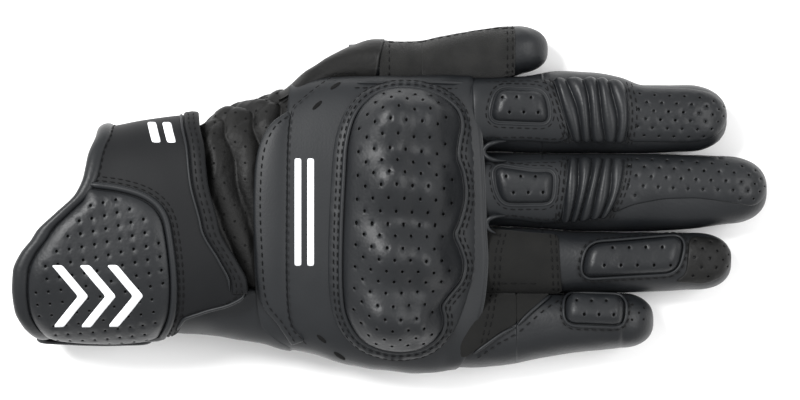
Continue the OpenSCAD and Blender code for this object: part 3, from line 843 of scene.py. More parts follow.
# Where the hand's leather starts at the wrist and ends at the fingers, by angle in degrees
WRIST_EDGE = curve_through([(0, -34), (25, -34.5), (50, -35.5), (62, -40.8), (72, -44.6), (88, -46.2),
                            (110, -45.7), (138, -44), (152, -39.5), (168, -34.5), (190, -34),
                            (215, -44), (240, -47), (300, -47), (330, -41), (360, -34)])
KNUCKLE_EDGE = curve_through([(0, 27), (35, 26.6), (60, 29.4), (76, 30.4), (90, 31.0), (98, 31.6),
                              (112, 30.8), (125, 29.0), (140, 26.6), (155, 24.0), (172, 21.8),
                              (190, 20.6), (225, 19.2), (315, 19.2), (345, 22), (360, 27)])


def hand_place(u, v, depth):
    degrees = 360 * v
    start, end = WRIST_EDGE(degrees), KNUCKLE_EDGE(degrees)
    edge = 0.9 * (1 - np.sqrt(np.clip(1 - (1 - np.clip((1 - u) * 70, 0, 1)) ** 2, 0, 1)))
    on_back = smooth_step(np.sin(np.radians(degrees)), 0.1, 0.5)
    lip = 1.1 * smooth_step(u, 0.88, 0.97) * on_back
    return HAND.at(start + (end - start) * u, np.radians(degrees), depth - edge + lip)


def make_hand():
    skin = shell("hand_leather", hand_place, 74, 168, 1.4, [COWHIDE, GOATSKIN],
                 pick=lambda u, v: 0 if 0.055 < v < 0.445 else 1)
    fit(skin, "hand", "black_leather", "back_panel", "outer_edge_panel", "palm_panel", "index_side_panel")
    lining = shell("hand_lining_knit",
                   lambda u, v, depth: HAND.at(-31 + 51 * u, 2 * np.pi * v, depth - 2.4), 24, 72, 0.6,
                   [LINING])
    fit(lining, "hand", "lining", "hand_lining")


YOKE_FRONT = [(-13.2, 41.3), (-17.4, 39.4), (-22.7, 35.6), (-30.2, 29.6), (-33.9, 24.2), (-34.9, 1.8),
              (-34.5, -37), (-29.3, -46.8)]
YOKE_WRIST = [(-34.9, 26.3), (-40.8, 22), (-45, 13.5), (-46.2, -0.3), (-45.7, -15.7), (-44.2, -33),
              (-38.5, -41.2), (-33.9, -48.3)]


def make_yoke(sewing):
    front = spline(YOKE_FRONT)
    wrist = spline(YOKE_WRIST)
    front_part = front[(front[:, 1] < 25)]
    loop = HAND.flat(np.vstack([wrist, front_part[::-1]]))
    band = panel("wrist_yoke_band", loop, HAND.wrap,
                 lambda along, across, edge: 0.9 + 0.5 * smooth_step(edge, 0, 4), COWHIDE, step=1.8,
                 roll=0.9)
    fit(band, "hand", "black_leather", "wrist_yoke")
    wrist_row = HAND.flat(offset_line(wrist, 2.2)[2:-2])
    sewing.stitch(HAND.wrap, wrist_row, 1.55)
    sewing.stitch(HAND.wrap, HAND.flat(front), 1.0)
    seam = np.linspace(-12.0, 26.0, 40)
    sewing.roll(HAND.wrap, np.stack([seam, np.full(40, HAND.across(27))], 1), 0.75, 0.15)
    sewing.stitch(HAND.wrap, np.stack([seam, np.full(40, HAND.across(33))], 1), 0.15)


# ---------------------------------------------------------------- the knuckle guard

GUARD_OUTLINE = [(-15.5, 6.3), (-16.4, -12), (-16.4, -30), (-14.6, -39), (-9.5, -45.6), (-1, -48.6),
                 (7, -48.4), (12.6, -45.9), (15.9, -42), (16.2, -38.2), (15.5, -34.6), (18, -30.9),
                 (22, -26.1), (23, -21.3), (21.6, -16.4), (19.8, -11.8), (21.6, -7), (23.3, 0),
                 (22.6, 6.8), (20.8, 12), (21.3, 17.4), (22.1, 22.0), (20.6, 26.2), (15.4, 30.0),
                 (8, 31.9), (0.6, 32.0), (-6.2, 29.8), (-11.8, 24.4), (-14.6, 16.4)]
# Main and outer dome of each knuckle: (x, y, half length, half width, height)
DOMES = [(1.5, 20.5, 8.5, 7.6, 3.6), (13.6, 20.5, 5.6, 6.8, 3.0),
         (1.5, 3.0, 9.0, 7.6, 4.4), (14.2, 0.6, 6.4, 7.0, 3.4),
         (1.0, -16.6, 9.0, 7.4, 4.0), (13.2, -18.6, 6.2, 6.4, 3.2),
         (-0.5, -34.6, 8.5, 7.0, 3.2), (10.0, -35.6, 5.2, 6.0, 2.4)]
GUARD_VALLEYS = [(12.6, 4.2, 0.9), (-7.6, 4.4, 1.3), (-28.6, 4.0, 1.2)]
WELT_W = 5.0


def guard_loop():
    return anticlockwise(spline(GUARD_OUTLINE, closed=True))


def guard_rise(x, y, edge):
    body = 5.0 * (1 - (1 - np.clip(edge / 13, 0, 1)) ** 2.2)
    shoulder = 1.3 * (1 - (1 - np.clip(edge / 1.7, 0, 1)) ** 2) ** 0.5
    lobes = np.zeros_like(x)
    for dome_x, dome_y, half_l, half_w, tall in DOMES:
        r = ((x - dome_x) / half_l) ** 2 + ((y - dome_y) / half_w) ** 2
        lobes = lobes + tall * np.exp(-r ** 1.15)
    valleys = sum(deep * bell(y, at, width) * smooth_step(x, -16, 12)
                  for at, width, deep in GUARD_VALLEYS)
    cross = 0.8 * bell(x, 6.6, 2.8)
    return shoulder + body + (lobes - valleys - cross) * smooth_step(edge, 0.5, 7)


def guard_layer(name, inset, share, base, finish, slot, node, holes=(), step=1.5):
    loop = guard_loop()
    outline = offset_loop(loop, -inset) if inset else loop
    top = HAND.flat(outline)

    def seen(along, across):
        place = HAND.wrap(along, across)
        return place[..., 0], place[..., 1]

    def height(along, across, edge):
        x, y = seen(along, across)
        return base + share * guard_rise(x, y, edge + inset)
    made = panel(name, top, HAND.wrap, height, finish, HAND.flat(holes) if len(holes) else (), step=step,
                 roll=0.5, sink=0.2)
    return fit(made, "hand", slot, node)


def make_guard(sewing):
    loop = guard_loop()
    holes = staggered(loop, (5.2, 3.25), 2.2, turn=math.radians(-2))
    cover = guard_layer("knuckle_guard_cover", 0, 1.0, 1.5, GOATSKIN, "soft_leather", "knuckle_cover",
                        holes, step=1.25)
    guard_layer("knuckle_guard_shell", 3.0, 0.72, 1.1, HARD_SHELL, "hard_shell", "knuckle_shell",
                step=2.4)
    guard_layer("knuckle_guard_foam", 3.4, 0.42, 0.9, FOAM, "foam", "knuckle_foam", step=3.0)
    wide = offset_loop(loop, WELT_W)
    hull = convex_hull_2d([Vector(point) for point in wide])
    outside = resample(np.array([wide[k] for k in hull]), 2.0, True)
    for _ in range(6):
        outside = (outside + np.roll(outside, 1, 0) + np.roll(outside, -1, 0)) / 3
    welt = panel("knuckle_guard_welt", HAND.flat(anticlockwise(outside)), HAND.wrap,
                 lambda along, across, edge: 0.25 + 1.2 * smooth_step(edge, 0, 1.6),
                 COWHIDE, step=1.8, roll=0.3, sink=0.3)
    fit(welt, "hand", "black_leather", "knuckle_border")
    sewing.roll(HAND.wrap, HAND.flat(offset_loop(loop, 0.85)), 0.85, 1.3, closed=True)
    for reach, lift in ((2.0, 1.72), (3.3, 1.7)):
        sewing.stitch(HAND.wrap, HAND.flat(offset_loop(loop, reach)), lift, closed=True)


# Slits that let air in, each (x, y, length, turn in degrees); each is drawn as a flat dark oval of painted
# shade
VENTS = [(-25.2, 28.4, 4.2, 42), (-19.2, 35.0, 4.2, 38), (-23.8, -46.2, 4.0, -40),
         (-17.9, -52.0, 4.6, -35)]


def make_vents():
    for number, (x, y, length, turn) in enumerate(VENTS, 1):
        c, s = math.cos(math.radians(turn)), math.sin(math.radians(turn))
        t = np.linspace(0, 2 * np.pi, 28, endpoint=False)
        oval = np.stack([length / 2 * np.cos(t), 0.6 * np.sin(t)], 1)
        oval = oval @ np.array([[c, s], [-s, c]]) + (x, y)
        # Each slit is a thin dark sheet of painted shade on the leather.
        slit = panel(f"air_slit_{number}", HAND.flat(oval), HAND.wrap,
                     lambda along, across, edge: 0.12 + 0 * along, SHADE, step=0.7, roll=0.0, sink=0.1)
        fit(slit, "hand", "black_leather")


# Two plain stripes printed straight across the back, each given by its two long sides' X
STRIPES = [(-32.6, -30.4), (-28.4, -26.2)]
STRIPE_NEAR_Y, STRIPE_FAR_Y = 12.0, -22.0


def make_print():
    for number, (back_x, front_x) in enumerate(STRIPES, 1):
        stripe = rounded([(back_x, STRIPE_NEAR_Y), (front_x, STRIPE_NEAR_Y), (front_x, STRIPE_FAR_Y),
                          (back_x, STRIPE_FAR_Y)], 0.4, 0.5)
        made = panel(f"back_print_stripe_{number}", HAND.flat(stripe), HAND.wrap,
                     lambda along, across, edge: 0.1 + 0 * along, PRINT, step=0.8, roll=0.0, sink=0.1)
        fit(made, "hand", "white_print")


# ---------------------------------------------------------------- the fingers

FINGER_FORM = {
    "index": dict(near=[(14, 39.6), (30, 40.9), (42, 41.0), (55, 42.9), (66, 42.6), (76, 40.8),
                        (84, 38.3), (98, 38.3)],
                  far=[(14, 16.1), (34, 16.0), (46, 15.6), (57, 15.45), (70, 15.45), (84, 15.4),
                       (98, 15.9)],
                  tip=(98.5, 13.3), split=49.5),
    "middle": dict(near=[(14, 15.7), (34, 15.6), (46, 15.25), (60, 15.2), (85, 15.1), (112, 14.4)],
                   far=[(14, -8.8), (34, -9.0), (50, -9.8), (60, -10.5), (78, -10.9), (95, -10.4),
                        (112, -8.4)],
                   tip=(111.6, 13.6), split=49.5),
    "ring": dict(near=[(14, -9.2), (34, -9.35), (50, -10.15), (60, -10.85), (78, -11.25), (100, -11.3)],
                 far=[(14, -31.0), (34, -31.2), (56, -31.45), (78, -31.35), (100, -30.4)],
                 tip=(101.8, 11.5), split=49.5),
    "little": dict(near=[(14, -31.3), (34, -31.5), (56, -31.8), (76, -31.6)],
                   far=[(14, -55.8), (25, -56.5), (36, -55.8), (48, -53.6), (60, -51.6), (76, -49.9)],
                   tip=(76.4, 10.8), split=41.0),
}


def finger_relief(seed):
    def relief(along, angle):
        on_palm = smooth_step(-np.sin(angle), -0.2, 0.6)
        folds = ripple(along, 11 * angle, 6.5, seed)
        creases = -np.clip(ripple(along, 9 * angle, 3.6, seed + 1.1) - 0.35, 0, 1)
        return 0.22 * folds * (0.4 + on_palm) + 0.5 * creases * on_palm
    return relief


def finger_skin(name):
    form = FINGER_FORM[name]
    seed = 2.1 + FINGERS.index(name)
    joint_x = pivot(name + "_middle_bend")[0]
    end_x = form["tip"][0]
    return Skin(near=form["near"], far=form["far"],
                top=[(14, 26.2), (24, 25.8), (34, 24.6), (joint_x - 8, 24.0), (joint_x + 4, 24.4),
                     (joint_x + 22, 23.2), (end_x, 22.0)],
                bottom=[(14, 2.6), (26, 1.2), (joint_x, 0.9), (end_x, 1.6)], squareness=2.5, middle=60,
                tip=form["tip"], relief=finger_relief(seed))


SKINS = {name: finger_skin(name) for name in FINGERS}


def root_fold(name):
    y = pivot(name + "_knuckle_bend")[1]
    end_x = 39.0 if name != "little" else 38.0
    return ("hand", name + "_root", (17.0, y, FINGER_Z), (end_x, y, FINGER_Z))


def end_fold(name):
    joint = pivot(name + "_middle_bend")
    reach = 13.0 if name != "little" else 11.5
    return (name + "_root", name + "_end", (joint[0] - reach, joint[1], joint[2]),
            (joint[0] + reach, joint[1], joint[2]))


def make_finger_tubes(name):
    skin, form = SKINS[name], FINGER_FORM[name]
    start_x, split = 15.0, form["split"]
    end = form["tip"][0] + form["tip"][1] * np.pi / 2
    root = shell(name + "_root_leather",
                 lambda u, v, depth: skin.at(start_x + (split - start_x) * u, 2 * np.pi * v, depth),
                 36, 72, 1.2, [GOATSKIN])
    nodes = [name + "_root_back", name + "_root_under", name + "_root_fold"]
    fit(root, root_fold(name), "soft_leather", *nodes)
    tube = shell(name + "_end_leather",
                 lambda u, v, depth: skin.at(split + (end - split) * u, 2 * np.pi * v, depth),
                 84, 72, 1.2, [GOATSKIN], tip=True)
    fit(tube, end_fold(name), "soft_leather", name + "_end_back", name + "_end_under", name + "_end_fold")


# Leather on the back of the first two finger roots, and the pad sewn on it
ROOT_PANELS = {
    "index": [(26, 39.6), (45, 40.2), (53.2, 39.4), (56.8, 29.5), (59.0, 20.0), (54, 18.9), (44, 19.6),
              (34, 19.6), (27, 19.6)],
    "middle": [(27, 12.6), (33, 12.4), (46, 12.9), (58.6, 13.2), (58.2, 2.5), (55.8, -7.4), (50, -7.8),
               (40, -6.4), (27, -6.4)],
}
PADS = {
    "index": ([(35.2, 36.2), (33.4, 33), (32.0, 26.1), (51.8, 25.4), (51.6, 31), (49.9, 35.6)], 3.2,
              "root"),
    "middle": ([(33.4, 10.6), (34.2, 3), (36.6, -1.2), (52.6, -1.2), (53.4, 4), (53.4, 9.0), (47, 8.6)],
               3.0, "root"),
    "ring": ([(64.6, -15.6), (97.2, -13.2), (94.6, -24.0), (62.4, -25.8)], 4.2, "end"),
    "little": ([(57.4, -32.6), (77.2, -33.2), (76.6, -42.0), (57.2, -41.4)], 3.4, "end"),
}
PLEATS = {
    "index": ((53.0, 39.6), (59.6, 19.2), (76.6, 38.6), (77.2, 19.0), 5),
    "middle": ((58.6, 13.3), (55.6, -7.6), (77.2, 13.0), (71.2, -6.0), 5),
}


def pad_height(tall, soft):
    def height(along, across, edge):
        crown = 1 - (1 - np.clip(edge / soft, 0, 1)) ** 2.2
        return 0.9 + tall * crown + 0.25 * ripple(along, across, 5.0, 0.7) * smooth_step(edge, 0, 3)
    return height


def make_finger_pad(name, sewing):
    corners, radius, where = PADS[name]
    skin = SKINS[name]
    loop = rounded(corners, radius)
    low, high = loop.min(0), loop.max(0)
    columns = 4 if where == "root" else (6 if name == "ring" else 4)
    holes = [(low[0] + (high[0] - low[0]) * (i + 0.5 + 0.25 * (j % 2 * 2 - 1)) / columns,
              low[1] + (high[1] - low[1]) * (j + 0.8) / 2.6) for i in range(columns) for j in range(2)]
    flat = skin.flat(loop)
    holes = skin.flat(holes)
    holes = holes[distance_to(holes, flat) > 1.8]
    pad = panel(name + "_back_pad", flat, skin.wrap, pad_height(2.3, 3.4), GOATSKIN, holes, step=1.1,
                roll=0.7)
    on = root_fold(name) if where == "root" else end_fold(name)
    fit(pad, on, "black_leather", name + "_pad")
    sewing.roll(skin.wrap, skin.flat(offset_loop(loop, 0.7)), 0.5, 0.75, closed=True)
    sewing.stitch(skin.wrap, skin.flat(offset_loop(loop, 1.75)), 1.05 if where == "root" else 0.6,
                  closed=True)


def make_root_panel(name, sewing):
    skin = SKINS[name]
    loop = rounded(ROOT_PANELS[name], 2.2)
    made = panel(name + "_root_panel", skin.flat(loop), skin.wrap,
                 lambda along, across, edge: 0.75
                 + 0.2 * ripple(along, across, 7.0, 1.9) * smooth_step(edge, 0, 4)
                 + 0.25 * smooth_step(edge, 0.5, 3), COWHIDE, step=1.5, roll=0.8)
    fit(made, root_fold(name), "black_leather")
    inner = offset_loop(loop, -1.5)
    sewing.stitch(skin.wrap, skin.flat(opened(inner[inner[:, 0] > 31.5])), 0.95)


def make_pleats(name, sewing):
    skin = SKINS[name]
    near_start, far_start, near_end, far_end, count = PLEATS[name]
    corners = skin.flat([near_start, far_start, near_end, far_end])

    def spot(u, v):
        start = corners[0] + (corners[1] - corners[0]) * v[..., None]
        end = corners[2] + (corners[3] - corners[2]) * v[..., None]
        bow = np.sin(np.pi * v)[..., None] * np.array([1.6, 0.0]) * u[..., None]
        return start + (end - start) * u[..., None] + bow

    def ribs(u, v, depth):
        wave = np.abs(np.sin(np.pi * (count * u + 0.12 * np.sin(5 * v + 9 * u)))) ** 0.62
        ease = smooth_step(u, 0, 0.05) * smooth_step(1 - u, 0, 0.05)
        side = np.sqrt(np.clip(1 - np.abs(2 * v - 1) ** 8, 0, 1))
        at = spot(u, v)
        return skin.wrap(at[..., 0], at[..., 1],
                         depth + 0.15 + side * (0.35 + 2.1 * wave * (0.35 + 0.65 * ease)))
    made = shell(name + "_back_pleats", ribs, 90, 30, 0.9, [GOATSKIN], closed=False, flip=True)
    fit(made, end_fold(name), "soft_leather", name + "_pleats")
    side = np.linspace(0.04, 0.96, 24)
    for at in (-0.045, -0.115, 1.045, 1.115):
        sewing.stitch(skin.wrap, spot(np.full(24, at), side), 1.05)


TIP_PANELS = {
    "index": [(77.5, 38.0), (77.8, 19.2), (100, 19.0), (107, 20.4), (111.3, 25.5), (111.3, 30.5),
              (107, 35.2), (100, 36.6), (85, 37.2)],
    "middle": [(77.0, 14.0), (72.2, -5.2), (79.8, -1.9), (90.3, 0.0), (101.3, 0.3), (112.4, -1.1),
               (120.5, -2.6), (124.6, 1.5), (124.6, 6.0), (120.5, 11.4), (112, 13.9)],
    "ring": [(98.6, -12.4), (97.4, -25.4), (93.0, -27.6), (104, -28.4), (110.4, -25.6), (112.9, -21),
             (112.6, -17), (108.5, -13.2)],
}


def make_tip_panel(name):
    skin = SKINS[name]
    cap_x, cap = skin.tip
    loop = rounded(TIP_PANELS[name], 2.6)
    spread = loop.copy()
    beyond = spread[:, 0] > cap_x
    share = np.clip((spread[beyond, 0] - cap_x) / cap, 0, 0.985)
    spread[beyond, 0] = cap_x + cap * np.arcsin(share)
    middle = (skin.near(spread[:, 0]) + skin.far(spread[:, 0])) / 2
    spread[beyond, 1] = middle[beyond] + (loop[beyond, 1] - middle[beyond]) / np.maximum(
        np.cos(np.arcsin(share)) ** 0.78, 0.42)
    flat = skin.flat(spread)
    holes = staggered(flat, (5.0, 3.15), 1.9, turn=math.radians(-4))
    made = panel(name + "_tip_panel", flat, skin.wrap,
                 lambda along, across, edge: 0.55 + 0.35 * smooth_step(edge, 0, 4)
                 + 0.1 * ripple(along, across, 7.0, 3.3) * smooth_step(edge, 0, 4),
                 SOFT_HIDE if name == "ring" else GOATSKIN, holes, step=1.5, roll=0.7)
    fit(made, end_fold(name), "black_leather")


# ---------------------------------------------------------------- the stretch panel of the outer fingers

STRETCH_RING = [(31, -10.2), (54.9, -12.4), (55.6, -25.7), (56.4, -31.15), (27, -31.15), (27, -14)]
STRETCH_LITTLE = [(25, -32.0), (41.0, -32.0), (41.0, -41.5), (35.2, -44.6), (29.5, -48.6),
                  (24.0, -52.6), (21.0, -52.0)]
STRETCH_LITTLE_END = [(41.0, -32.0), (52.4, -32.0), (49.8, -34.2), (45.1, -37.6), (41.0, -41.5)]


# The rolled edge round the bottom of the slot between two fingers, seen from above
SLOT_ROLLS = [[(37.5, 19.3), (34, 18.9), (31.2, 17.8), (30.0, 15.9), (31.2, 13.9), (34, 12.9),
               (37.5, 12.7)],
              [(37.5, -5.6), (34, -5.8), (31.6, -6.8), (31.0, -8.6), (31.8, -10.2), (34, -11.4)]]


def make_slot_rolls(sewing):
    for points in SLOT_ROLLS:
        line = spline(points)
        height = 25.6 - 2.4 * smooth_step(line[:, 0], 32, 38) - 0.6 * bell(line[:, 0], 30, 1.4)
        order = np.argsort(line[:, 0])

        def over_slot(x, y, out):
            return np.stack([x, y, np.interp(x, line[order, 0], height[order]) + out], -1)
        sewing.roll(over_slot, line, 0.8, 0.0, taper=5.0)


def make_stretch(rows):
    for name, corners, radius, on, label in (
            ("ring", STRETCH_RING, 1.6, root_fold("ring"), "ring_stretch_panel"),
            ("little", STRETCH_LITTLE, 0.4, root_fold("little"), "little_stretch_panel"),
            ("little", STRETCH_LITTLE_END, 0.4, end_fold("little"), "little_stretch_tip")):
        skin = SKINS[name]
        loop = rounded(corners, radius)
        made = panel(label, skin.flat(loop), skin.wrap,
                     lambda along, across, edge: 0.7 + 0.12 * ripple(along, across, 5.0, 4.1), STRETCH,
                     step=1.6,
                     roll=0.35)
        fit(made, on, "stretch")
    ring, little = SKINS["ring"], SKINS["little"]
    # Double rows of stitches, the second row beside the first
    doubled = [("ring_root", ring, [(54.0, -13.0), (54.6, -22), (55.0, -29.4)], -1),
               ("ring_root", ring, [(35.6, -12.6), (34.0, -18), (33.2, -29.4)], 1),
               ("little_root", little, [(32.6, -33), (31.4, -39), (29.4, -47)], 1)]
    for shift in (0, 1.7):
        for body, skin, points, side in doubled:
            line = [(x + side * shift, y) for x, y in points]
            rows[body].stitch(skin.wrap, skin.flat(line), 0.8)
    rows["ring_root"].stitch(ring.wrap, ring.flat([(36.7, -27.6), (46.5, -27.6)]), 0.75)
    # The seam between the stretch piece and the leather, and the stitches beside it
    seam_root = spline([(26.5, -51.4), (35.2, -45.4), (40.6, -42.6)])
    seam_end = spline([(41.2, -42.2), (45.1, -38.4), (49.8, -34.6), (52.6, -32.6)])
    rows["little_root"].roll(little.wrap, little.flat(seam_root), 0.6, 0.5)
    rows["little_end"].roll(little.wrap, little.flat(seam_end), 0.6, 0.5)
    beside_root = [(28.6, -52.4), (34.6, -48.2), (39.8, -45.4)]
    beside_end = [(42.6, -43.6), (46.4, -40.2), (50.6, -36.8), (54.4, -34.4)]
    rows["little_root"].stitch(little.wrap, little.flat(beside_root), 0.4)
    rows["little_end"].stitch(little.wrap, little.flat(beside_end), 0.4)


# Punched holes at the end of the little finger, drawn as dark cups of painted shade, seen from above
LITTLE_TIP_HOLES = [(79.8, -35.0), (79.6, -40.2), (82.2, -37.6), (84.4, -35.2), (84.2, -40.0)]


def make_little_tip():
    little = SKINS["little"]
    here, up = lifted(little.wrap, little.flat(LITTLE_TIP_HOLES), 0.02)
    marks = grow("little_tip_punches", PUNCHES, [(here, up, np.ones(len(here)))])
    fit(marks, end_fold("little"), "soft_leather")


# ---------------------------------------------------------------- the thumb

THUMB = Skin(near=[(-16, 51.6), (-4, 52.6), (8, 53.0), (20, 55.4), (31, 57.3), (42, 58.2)],
             far=[(-16, 38.4), (0, 39.2), (20, 40.2), (33, 40.3), (38, 40.7), (43, 42.0)],
             top=[(-16, 22.0), (20, 22.2), (42, 21.0)], bottom=[(-16, 1.4), (20, 0.9), (42, 1.6)],
             squareness=2.4, middle=20, tip=(41.0, 10.8),
             relief=lambda along, angle: 0.3 * ripple(along, 9 * angle, 6.0, 5.2))
THUMB_SPLIT = 9.5
THUMB_SWING = ("hand", "thumb_root", THUMB_ROOT - (5.0, 0, 0), THUMB_ROOT + (9.0, 0, 0))
THUMB_BEND = ("thumb_root", "thumb_end", THUMB_JOINT - (11.0, 0, 0), THUMB_JOINT + (11.0, 0, 0))


def make_thumb(root_rows, end_rows):
    end = THUMB.tip[0] + THUMB.tip[1] * np.pi / 2
    root = shell("thumb_root_leather",
                 lambda u, v, depth: THUMB.at(-15 + (THUMB_SPLIT + 15) * u, 2 * np.pi * v, depth), 26, 64,
                 1.2, [GOATSKIN])
    fit(root, THUMB_SWING, "soft_leather", "thumb_root_back", "thumb_root_palm")
    tube = shell("thumb_end_leather",
                 lambda u, v, depth: THUMB.at(THUMB_SPLIT + (end - THUMB_SPLIT) * u, 2 * np.pi * v,
                                              depth),
                 60, 64, 1.2, [GOATSKIN], tip=True)
    fit(tube, THUMB_BEND, "soft_leather", "thumb_end_back", "thumb_end_palm", "thumb_fold")
    reach = (THUMB.across(26), THUMB.across(160))
    for label, first, last, on, rows in (("thumb_root_suede", -4.6, THUMB_SPLIT, THUMB_SWING, root_rows),
                                         ("thumb_end_suede", THUMB_SPLIT, 40.5, THUMB_BEND, end_rows)):
        loop = rounded([(first, reach[0]), (last, reach[0]), (last, reach[1]), (first, reach[1])], 0.3)
        made = panel(label, loop, THUMB.wrap,
                     lambda along, across, edge: 0.6 + 0.2 * ripple(along, across, 5.0, 2.9), SUEDE,
                     step=1.5, roll=0.3)
        fit(made, on, "suede")
        rows.stitch(THUMB.wrap, np.array([(first + 0.8, reach[0] - 1.4), (last - 0.8, reach[0] - 1.4)]),
                    0.72)
    for x in (38.0, 39.8):
        end_rows.stitch(THUMB.wrap, np.array([(x, reach[0] - 1.0), (x, reach[1] + 1.0)]), 0.72)
    root_rows.stitch(THUMB.wrap, np.array([(-1.4, reach[0] - 1.0), (-1.4, reach[1] + 1.0)]), 0.72)


def make_thenar():
    def place(u, v, depth):
        hand_angle = np.radians(30 - 84 * v)
        thumb_angle = np.radians(138 - 276 * v)
        start = -38 + 20 * smooth_step(v, 0.55, 1.0) ** 2
        on_hand = HAND.at(start + (-12 - start) * u, hand_angle,
                          depth - 1.6 + 3.4 * smooth_step(u, 0.0, 0.3))
        on_thumb = THUMB.at(np.full_like(u, -9.0), thumb_angle, depth + 1.5)
        t = smooth_step(u, 0.0, 0.92)[..., None] ** 0.9
        made = on_hand * (1 - t) + on_thumb * t
        made[..., 0] = start + (-5 - start) * u + 2.0 * np.cos(thumb_angle) * u
        swell = 1.2 * ripple(made[..., 0], made[..., 2], 8.0, 0.4)
        made[..., 1] += swell * np.sin(np.pi * u) * 0.5
        made[..., 2] = np.maximum(made[..., 2], 0.25)
        return made
    base = shell("thumb_base_leather", place, 40, 56, 1.3, [SOFT_HIDE], closed=False, flip=True)
    fit(base, "hand", "soft_leather", "thenar_panel")
    loop = rounded([(-11.5, THUMB.across(-50)), (0.0, THUMB.across(-50)), (0.0, THUMB.across(100)),
                    (-11.5, THUMB.across(100))], 2.0)
    gusset = panel("thumb_gusset_leather", loop, THUMB.wrap,
                   lambda along, across, edge: 0.45 + 0.2 * np.sin(along * 1.6), SOFT_HIDE, step=1.2,
                   roll=0.4)
    fit(gusset, THUMB_SWING, "stretch", "thumb_gusset")


# ---------------------------------------------------------------- the wrist gusset and its strap

def gusset_relief(along, angle):
    around = 32 * (np.pi / 2 - angle)
    slant = along + 0.36 * around + 2.4 * np.sin(0.09 * around + 1.0) + 0.7 * np.sin(0.31 * around)
    folds = np.abs(np.sin(0.34 * slant)) ** 0.7
    cross = np.abs(np.sin(0.21 * (along - 0.8 * around) + 0.9 * np.sin(0.12 * around))) ** 0.6
    deep = 2.5 * (folds - 0.8) + 0.5 * (cross - 0.8) + 0.3 * ripple(along, around, 5.0, 6.6)
    return deep * (0.35 + 0.65 * smooth_step(np.sin(angle), -0.5, 0.1))


GUSSET = Skin(near=[(-72, 22.5), (-65, 24.2), (-58, 29.4), (-51, 32.2), (-44, 33.8), (-34, 37.2),
                    (-28, 37.4)],
              far=[(-76, -41.8), (-60, -43.4), (-47, -45.4), (-30, -48.0)],
              top=[(-72, 42.2), (-60, 40.6), (-50, 36.6), (-40, 35.6), (-28, 35.6)],
              bottom=[(-76, 7.2), (-60, 6.6), (-47, 5.6), (-30, 5.2)], squareness=2.6, middle=-55,
              relief=gusset_relief)
GUSSET_EVEN = Skin(near=[(-72, 22.5), (-64, 23.6), (-56, 27.0), (-47, 31.0), (-34, 36.4)],
                   far=[(-76, -41.8), (-60, -43.4), (-47, -45.4), (-30, -48.0)],
                   top=[(-72, 42.2), (-60, 40.6), (-50, 36.6), (-40, 35.6)],
                   bottom=[(-76, 6.4), (-60, 5.9), (-47, 5.0), (-30, 4.8)], squareness=2.6, middle=-55)
WRIST_FOLD = ("hand", "cuff", (-43.0, WRIST[1], WRIST[2]), (-63.0, WRIST[1], WRIST[2]))


def gusset_place(u, v, depth):
    """The gusset, whose hidden end widens to meet the cuff's inner wall behind its front edge."""
    angle = 2 * np.pi * v
    start = -78 + 9 * smooth_step(np.cos(angle), -0.2, 1)
    start = np.minimum(start, FRONT(360 * v) - 4.5)
    along = start + (-29 - start) * u
    sewn_in = (1 - smooth_step(u, 0.0, 0.08))[..., None]
    at_cuff = CUFF.at(along - 2.0, angle, depth - 1.5)
    return GUSSET.at(along, angle, depth) * (1 - sewn_in) + at_cuff * sewn_in


def make_gusset():
    made = shell("wrist_gusset_leather", gusset_place, 96, 200, 1.1, [SOFT_HIDE])
    fit(made, WRIST_FOLD, "soft_leather", "wrist_gusset")
    # The gusset's punched holes, drawn as dark cups of painted shade.
    along = np.arange(-66, -31, 3.4)
    places = np.array([(x, y + 2.6 * (i % 2)) for i, x in enumerate(along)
                       for y in np.arange(GUSSET.across(200), GUSSET.across(-20), 5.2)])
    here, up = lifted(GUSSET.wrap, places, 0.02)
    holes = grow("wrist_gusset_punches", PUNCHES, [(here, up, np.ones(len(here)))])
    fit(holes, WRIST_FOLD, "soft_leather")


# Leather on the outer side of the wrist, under the cuff's front corner, seen from above
ANCHOR = [(-74.0, -38.0), (-66, -35.6), (-56, -32.4), (-46.0, -29.0), (-38.8, -30.5), (-37.4, -41.0),
          (-33.5, -47.0), (-33.8, -55.4), (-50, -56.5), (-64, -55.0), (-74.0, -50.0)]


def make_strap_anchor(sewing):
    loop = rounded(ANCHOR, 4.0)
    flat = GUSSET_EVEN.flat(loop)
    made = panel("wrist_side_leather", flat, GUSSET_EVEN.wrap,
                 lambda along, across, edge: 2.1 + 1.3 * bell(along, -36, 6)
                 + 0.35 * ripple(along, across, 9.0, 4.4),
                 COWHIDE, step=1.6, roll=0.9,
                 sink=0.4)
    fit(made, WRIST_FOLD, "black_leather")
    lower = GUSSET_EVEN.flat(spline([(-66, -43.0), (-58.5, -42.6), (-50.5, -43.6), (-40.5, -46.4)]))
    sewing.stitch(GUSSET_EVEN.wrap, lower, 1.95)


def make_strap(sewing):
    low, high = node_box("wrist_strap")
    first, last = GUSSET_EVEN.across(292), GUSSET_EVEN.across(194)
    loop = rounded([(low[0], first), (high[0], first), (high[0] + 4, last - 12), (high[0] + 9, last),
                    (low[0], last)], 3.0)
    strap = panel("wrist_strap_leather", loop, GUSSET_EVEN.wrap,
                  lambda along, across, edge: 3.0 + 0.2 * smooth_step(edge, 0, 3), COWHIDE, step=1.7,
                  roll=0.8, sink=-1.9)
    fit(strap, "wrist_strap", "black_leather", "wrist_strap")
    sewing.stitch(GUSSET_EVEN.wrap, offset_loop(anticlockwise(loop), -2.2), 3.1, closed=True)


# ---------------------------------------------------------------- the cuff

